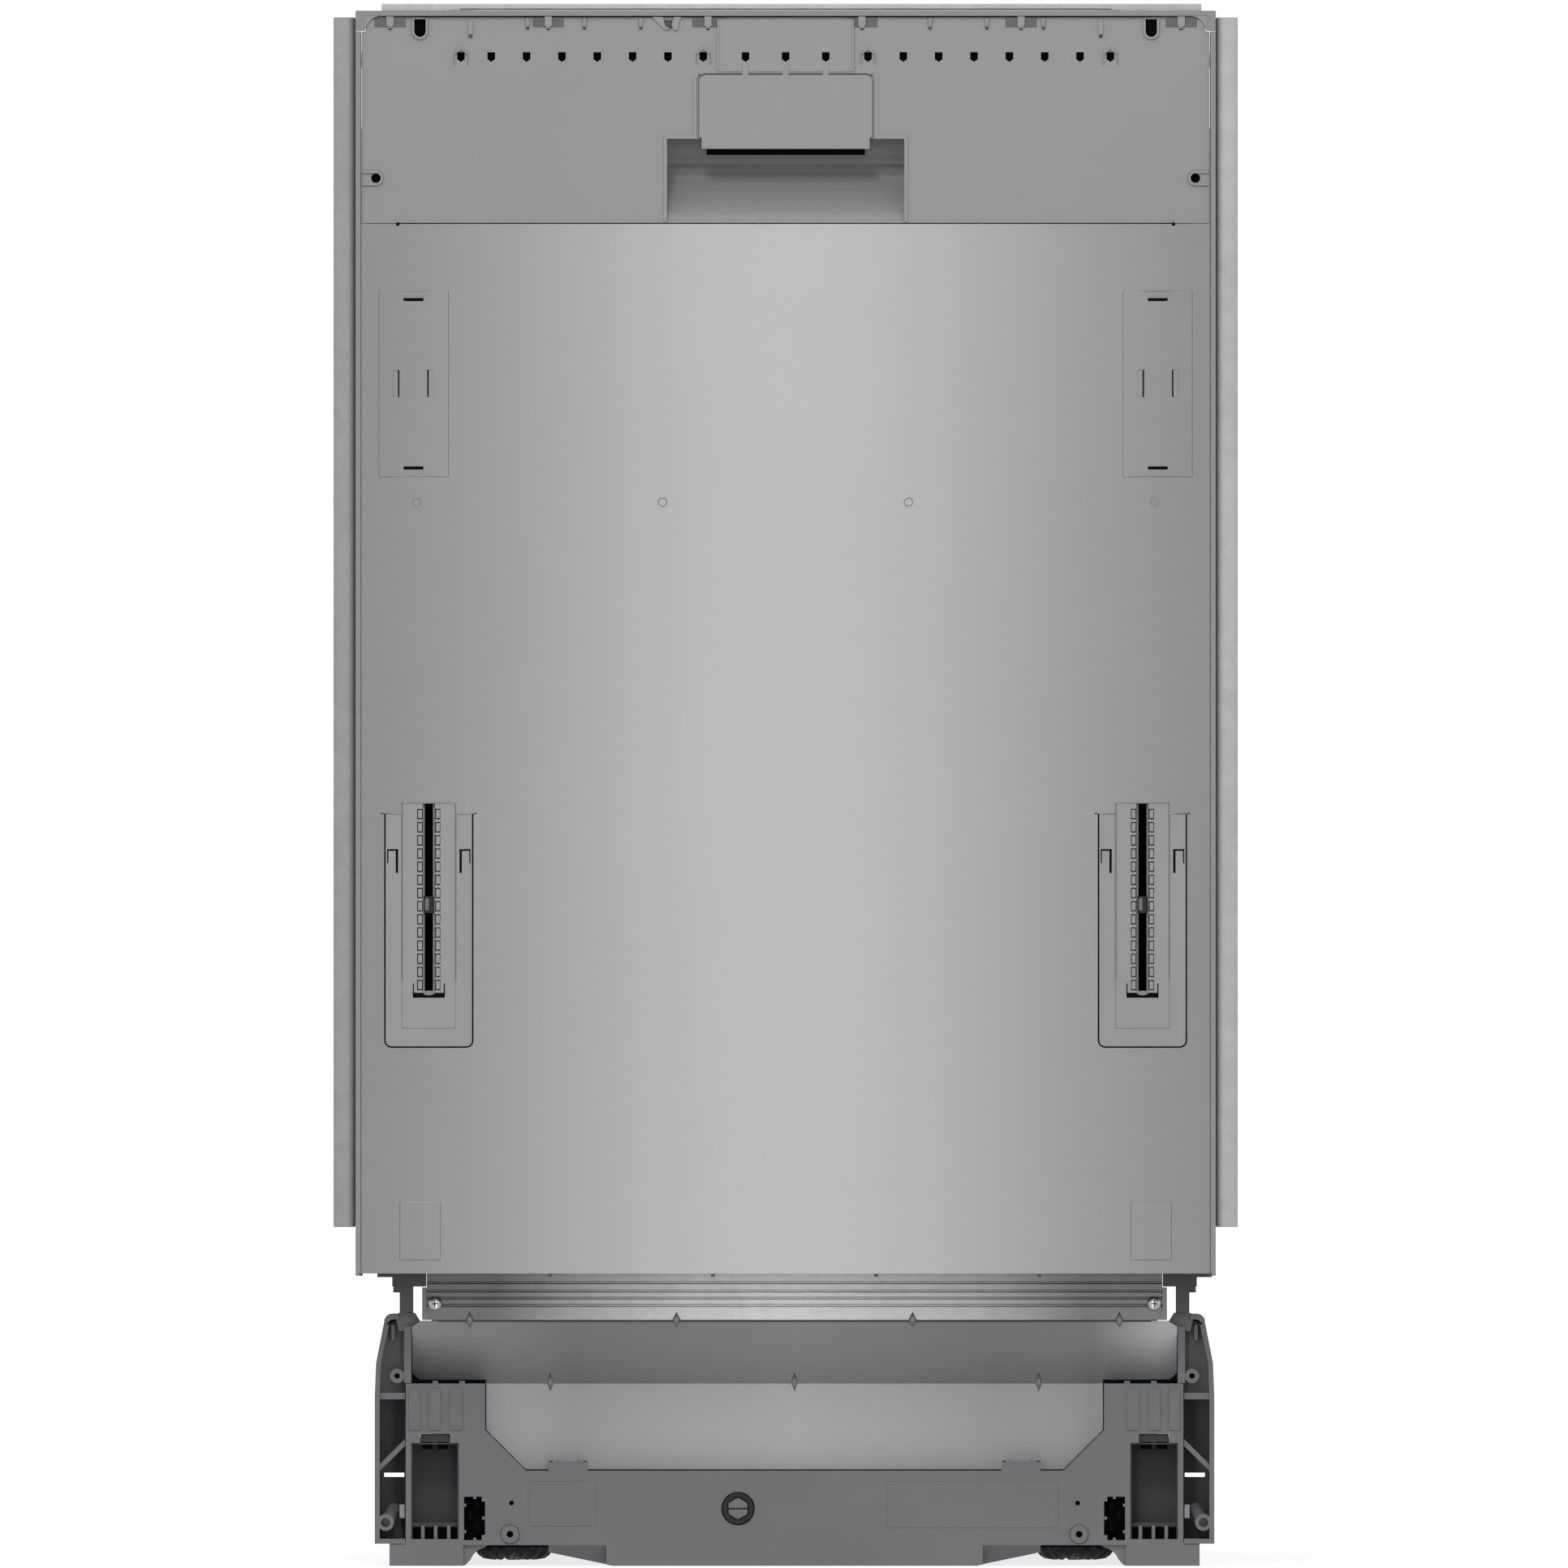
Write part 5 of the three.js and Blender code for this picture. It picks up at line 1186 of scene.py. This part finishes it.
def rear_details():
    """Pressings, screws and louvres of the rear cover."""
    ribs = Shape(REAR_FACE)
    for z in (236, 330, 620, 714):
        ribs.tube([(-188, 0, z), (188, 0, z)], 2.4)
    bead_loop(ribs, -150, 150, 372, 578, 0, 2.2, 26)
    ribs.tube([(-132, 0, 390), (132, 0, 560)], 2.2)
    ribs.tube([(-132, 0, 560), (132, 0, 390)], 2.2)
    ribs.piece("rear_cover_pressings", "cabinet", "zinc", 0)
    head = [(0.01, -0.4), (4.4, -0.4), (4.4, 0.8), (3, 2.4), (0.01, 2.7)]
    screws, slots = shapes(2, REAR_FACE)
    for x in (-212, 212):
        for z in spaced(166, 786, 5):
            screws.lathe("y", (x, 0, z), head, 24)
            slots.cross(x, z, 2, 2.8, 0.4, 2.2)
    screws.piece("rear_screws", "cabinet", "screw", 0)
    slots.piece("rear_screw_slots", "cabinet", "shadow", 0)
    louvres = Shape(REAR_FACE)
    for z in spaced(744, 776, 5):
        slat = [(-0.2, z + 1.6), (2.2, z - 1.2), (2.2, z - 2), (-0.2, z - 1.4)]
        louvres.prism("x", slat, 120, 180)
    louvres.piece("rear_louvres", "cabinet", "zinc", 0.1)


def side_details():
    """Pressed lanes and fixing screws on the thin side covers."""
    lanes, screws = shapes(2)
    for name, side in SIDES:
        low, high = span(f"side_cover_{name}")
        face = high.x if side > 0 else low.x
        for y in (-140, 20, 180):
            for z0, z1 in ((200, 450), (500, 750)):
                loop = ((y - 24, z0), (y + 24, z0), (y + 24, z1), (y - 24, z1), (y - 24, z0))
                lanes.tube(bent([(face, along, z) for along, z in loop], 10), 1.7)
        head = ((0.01, -0.3), (4, -0.3), (4, 0.8), (2.8, 2.2), (0.01, 2.4))
        for y in (-206, 20, 250):
            for z in (168, 786):
                screws.lathe("x", (0, y, z), [(r, face + side * proud) for r, proud in head], 24)
    lanes.piece("side_cover_pressings", "cabinet", "zinc", 0)
    screws.piece("side_cover_screws", "cabinet", "screw", 0)


def coil_spring(shape, x, y0, y1, z, r, turns, thickness):
    """A coil along y, ten points to a turn."""
    path = []
    for i in range(turns * 10 + 1):
        a = 2 * math.pi * i / 10
        path.append((x + r * math.sin(a), y0 + (y1 - y0) * i / (turns * 10), z - r * math.cos(a)))
    shape.tube(path, thickness, 6)


def base_plumbing():
    """Springs, hoses, inlet valve, motor leads and motor fins, in the open base."""
    spring_z = 118
    motor_y, motor_z = 118, 86
    valve_x = -85
    springs, posts = shapes(2)
    for _, side in SIDES:
        x = BASE_MIDDLE + side * 208
        coil_spring(springs, x, -160, -30, spring_z, 7, 22, 1.1)
        springs.tube([(x, -172, spring_z), (x, -160, spring_z)], 1.3)
        springs.tube([(x, -30, spring_z), (x, -14, spring_z)], 1.3)
        posts.slab(x, 4, -14, -8, 62, 124)
        posts.slab(x, 4, -178, -172, 90, 124)
    springs.piece("hinge_springs", "cabinet", "motor", 0)
    posts.piece("spring_posts", "cabinet", "dark", 0.6)
    hoses = Shape()
    hoses.tube(bent([(-20, 20, 108), (-20, 70, 84), (-46, 118, 86)], 16, 6), 11, 16)
    hoses.tube(bent([(-120, -92, 86), (-120, -92, 100), (-178, -92, 104), (-178, 230, 104), (-150, 244, 80),
                     (-150, 270, 80)], 22, 7), 8.5, 16)
    hoses.piece("base_hoses", "cabinet", "hose", 0)
    ribs = Shape()
    for y in spaced(-70, 200, 46):
        ribs.ring("y", (-178, y, 104), 8.3, 9.6, 2.6, 24)
    ribs.ring("y", (-150, 268, 80), 8, 11.4, 10, 32)
    ribs.piece("hose_ribs", "cabinet", "hose", 0.4)
    valve = Shape()
    valve.box(-108, -62, 236, 262, 68, 104)
    valve.box(-92, -78, 240, 246, 24, 70)
    valve.box(-104, -66, 240, 262, 24, 27)
    valve.rod("y", (valve_x, 268, 86), 12, 12, 36)
    for y in spaced(264, 273, 6):
        valve.ring("y", (valve_x, y, 86), 11.6, 13.2, 0.9, 36)
    valve.rod("z", (valve_x, 249, 112), 11, 18, 28)
    valve.piece("inlet_valve", "cabinet", "white", 0.5)
    bore = Shape()
    bore.rod("y", (valve_x, 274, 86), 8.2, 0.8, 28)
    bore.piece("inlet_valve_bore", "cabinet", "shadow", 0)
    leads = (("wire_blue_a", -4, "hose"), ("wire_brown_b", 0, "copper"), ("wire_earth_c", 4, "white"))
    for index, (name, dx, material) in enumerate(leads):
        lead = Shape()
        lead.tube(bent([(168 + dx, 250, 84), (168 + dx, 210, 84), (150 + dx, 150, 66), (88 + dx, 150, 66),
                        (88 + dx, 122, 110 + index)], 14, 5), 1.6, 10)
        lead.piece(name, "cabinet", material, 0, slot="rubber")
    coils = Shape()
    for x in (62, 80):
        coils.ring("x", (x, motor_y, motor_z), 43.2, 45, 5, 40)
    coils.piece("motor_bands", "cabinet", "dark", 0.4)
    knurl("motor_fins", "cabinet", "x", (28, motor_y, motor_z), 43.6, 36, 1.1, 44, "motor")


# ---------------------------------------------------------------- camera, light and floor
def studio():
    """Camera, pale floor, sky and two lamps."""
    scene = bpy.context.scene
    scene.view_settings.view_transform = "Standard"
    lens = bpy.data.cameras.new("camera")
    lens.sensor_width = 36
    lens.lens = 1058
    lens.clip_end = 400
    camera = bpy.data.objects.new("camera", lens)
    camera.location = (-0.00085, -24.27, 0.408)
    camera.rotation_euler = (math.radians(90), 0, 0)
    scene.collection.objects.link(camera)
    scene.camera = camera

    floor_mesh = bpy.data.meshes.new("floor")
    reach = 260
    corners = [(-reach, -reach, 0), (reach, -reach, 0), (reach, reach, 0), (-reach, reach, 0)]
    floor_mesh.from_pydata(corners, [], [(0, 1, 2, 3)])
    floor = bpy.data.objects.new("floor", floor_mesh)
    scene.collection.objects.link(floor)
    paper = bpy.data.materials.new("floor_paper")
    paper.use_nodes = True
    shader = paper.node_tree.nodes["Principled BSDF"]
    shader.inputs["Base Color"].default_value = (0.30, 0.30, 0.30, 1)
    shader.inputs["Roughness"].default_value = 1
    shader.inputs["Specular IOR Level"].default_value = 0
    shader.inputs["Emission Color"].default_value = (1, 1, 1, 1)
    shader.inputs["Emission Strength"].default_value = 0.78
    floor_mesh.materials.append(paper)
    floor.visible_diffuse = False
    floor.visible_glossy = False
    floor.visible_shadow = False

    sky = bpy.data.worlds.new("studio")
    sky.use_nodes = True
    scene.world = sky
    place = add_node(sky, "TexCoord")
    split = add_node(sky, "SeparateXYZ")
    height = add_node(sky, "MapRange", From_Min=-1, From_Max=1)
    ramp = two_tones(sky, 0.0, (0.60, 0.60, 0.61), 0.5, (1, 1, 1))
    ramp.color_ramp.elements.new(0.49).color = (0.66, 0.66, 0.67, 1)
    backdrop = sky.node_tree.nodes["Background"]
    backdrop.inputs["Strength"].default_value = 1.02
    wire(sky, place.outputs["Generated"], split.inputs["Vector"])
    wire(sky, split.outputs["Z"], height.inputs["Value"])
    wire(sky, height.outputs["Result"], ramp.inputs["Fac"])
    wire(sky, ramp.outputs["Color"], backdrop.inputs["Color"])

    def softbox(name, place, aim, width, tall, watts, diffuse=True):
        data = bpy.data.lights.new(name, "AREA")
        data.shape = "RECTANGLE"
        data.size = width
        data.size_y = tall
        data.energy = watts
        light = bpy.data.objects.new(name, data)
        light.location = place
        light.rotation_euler = (Vector(aim) - Vector(place)).to_track_quat("-Z", "Y").to_euler()
        light.visible_camera = False
        light.visible_diffuse = diffuse
        scene.collection.objects.link(light)

    softbox("front_strip", (0, -1.35, 0.42), (0, 0, 0.42), 0.10, 2.6, 6.4, diffuse=False)
    softbox("top_softbox", (-0.35, -2.6, 2.35), (0, 0, 0.6), 0.6, 0.6, 22)


def dress_cad():
    """Gives every CAD node its material; a name that ends in _ stands for the left and the right node."""
    materials = {
        "steel": "door_outer_sheet",
        "stainless": "tub_wrap tub_back tub_floor door_inner_panel rack_rail_",
        "sieve": "fine_filter_plate",
        "zinc": "rear_cover side_cover_",
        "ribbed": "ribbed_crossmember",
        "toe": "toe_plate",
        "left_zinc": "trim_strip_left",
        "right_zinc": "trim_strip_right",
        "top_zinc": "top_strip",
        "fascia": "door_fascia handle_cover",
        "bar": "control_strip",
        "rail": "bracket_rail_",
        "pale": "dispenser_body dispenser_lid rinse_aid_cap rack_wheel_front_ "
                "rack_wheel_rear_ cutlery_basket",
        "base": "base_frame base_tray base_wing_",
        "dark": "sump drain_pump door_lock hinge_bracket_",
        "black": "power_socket power_button start_button front_foot_ rear_foot rear_foot_shaft rail_clip_",
        "rubber": "door_gasket",
        "white": "softener_tank salt_cap filter_cylinder",
        "wire": "lower_rack upper_rack tine_row",
        "arm": "upper_spray_arm lower_spray_arm",
        "motor": "circulation_pump lock_striker hinge_arm_",
    }
    sharp = ("door_fascia", "door_outer_sheet", "lower_rack", "upper_rack", "tine_row")
    for material, names in materials.items():
        for name in names.split():
            for end in ("left", "right") if name.endswith("_") else ("",):
                dress(name + end, material, 0 if name in sharp else 0.3)


dress_cad()
fascia_clips()
fascia_latch()
fascia_bosses()
fascia_backing()
vent_hoods()
grip_ridges()
door_seams()
panel_tongues()
for side_name, side_sign in SIDES:
    rail_fittings(side_name, side_sign)
strip_controls()
top_strip_groove()
crossmember_screws()
gussets()
base_details()
adjuster_head()
wing_details()
foot_knobs()
lower_rack()
folding_tines()
cutlery_lattice()
upper_rack()
spray_arm("lower_spray_arm", 146, -10, 172, 0.5)
spray_arm("upper_spray_arm", 176, 0, 419.5, 2.2)
door_inside()
dispenser_details()
lock_details()
tub_inside()
tub_felt()
rear_details()
side_details()
base_plumbing()
studio()
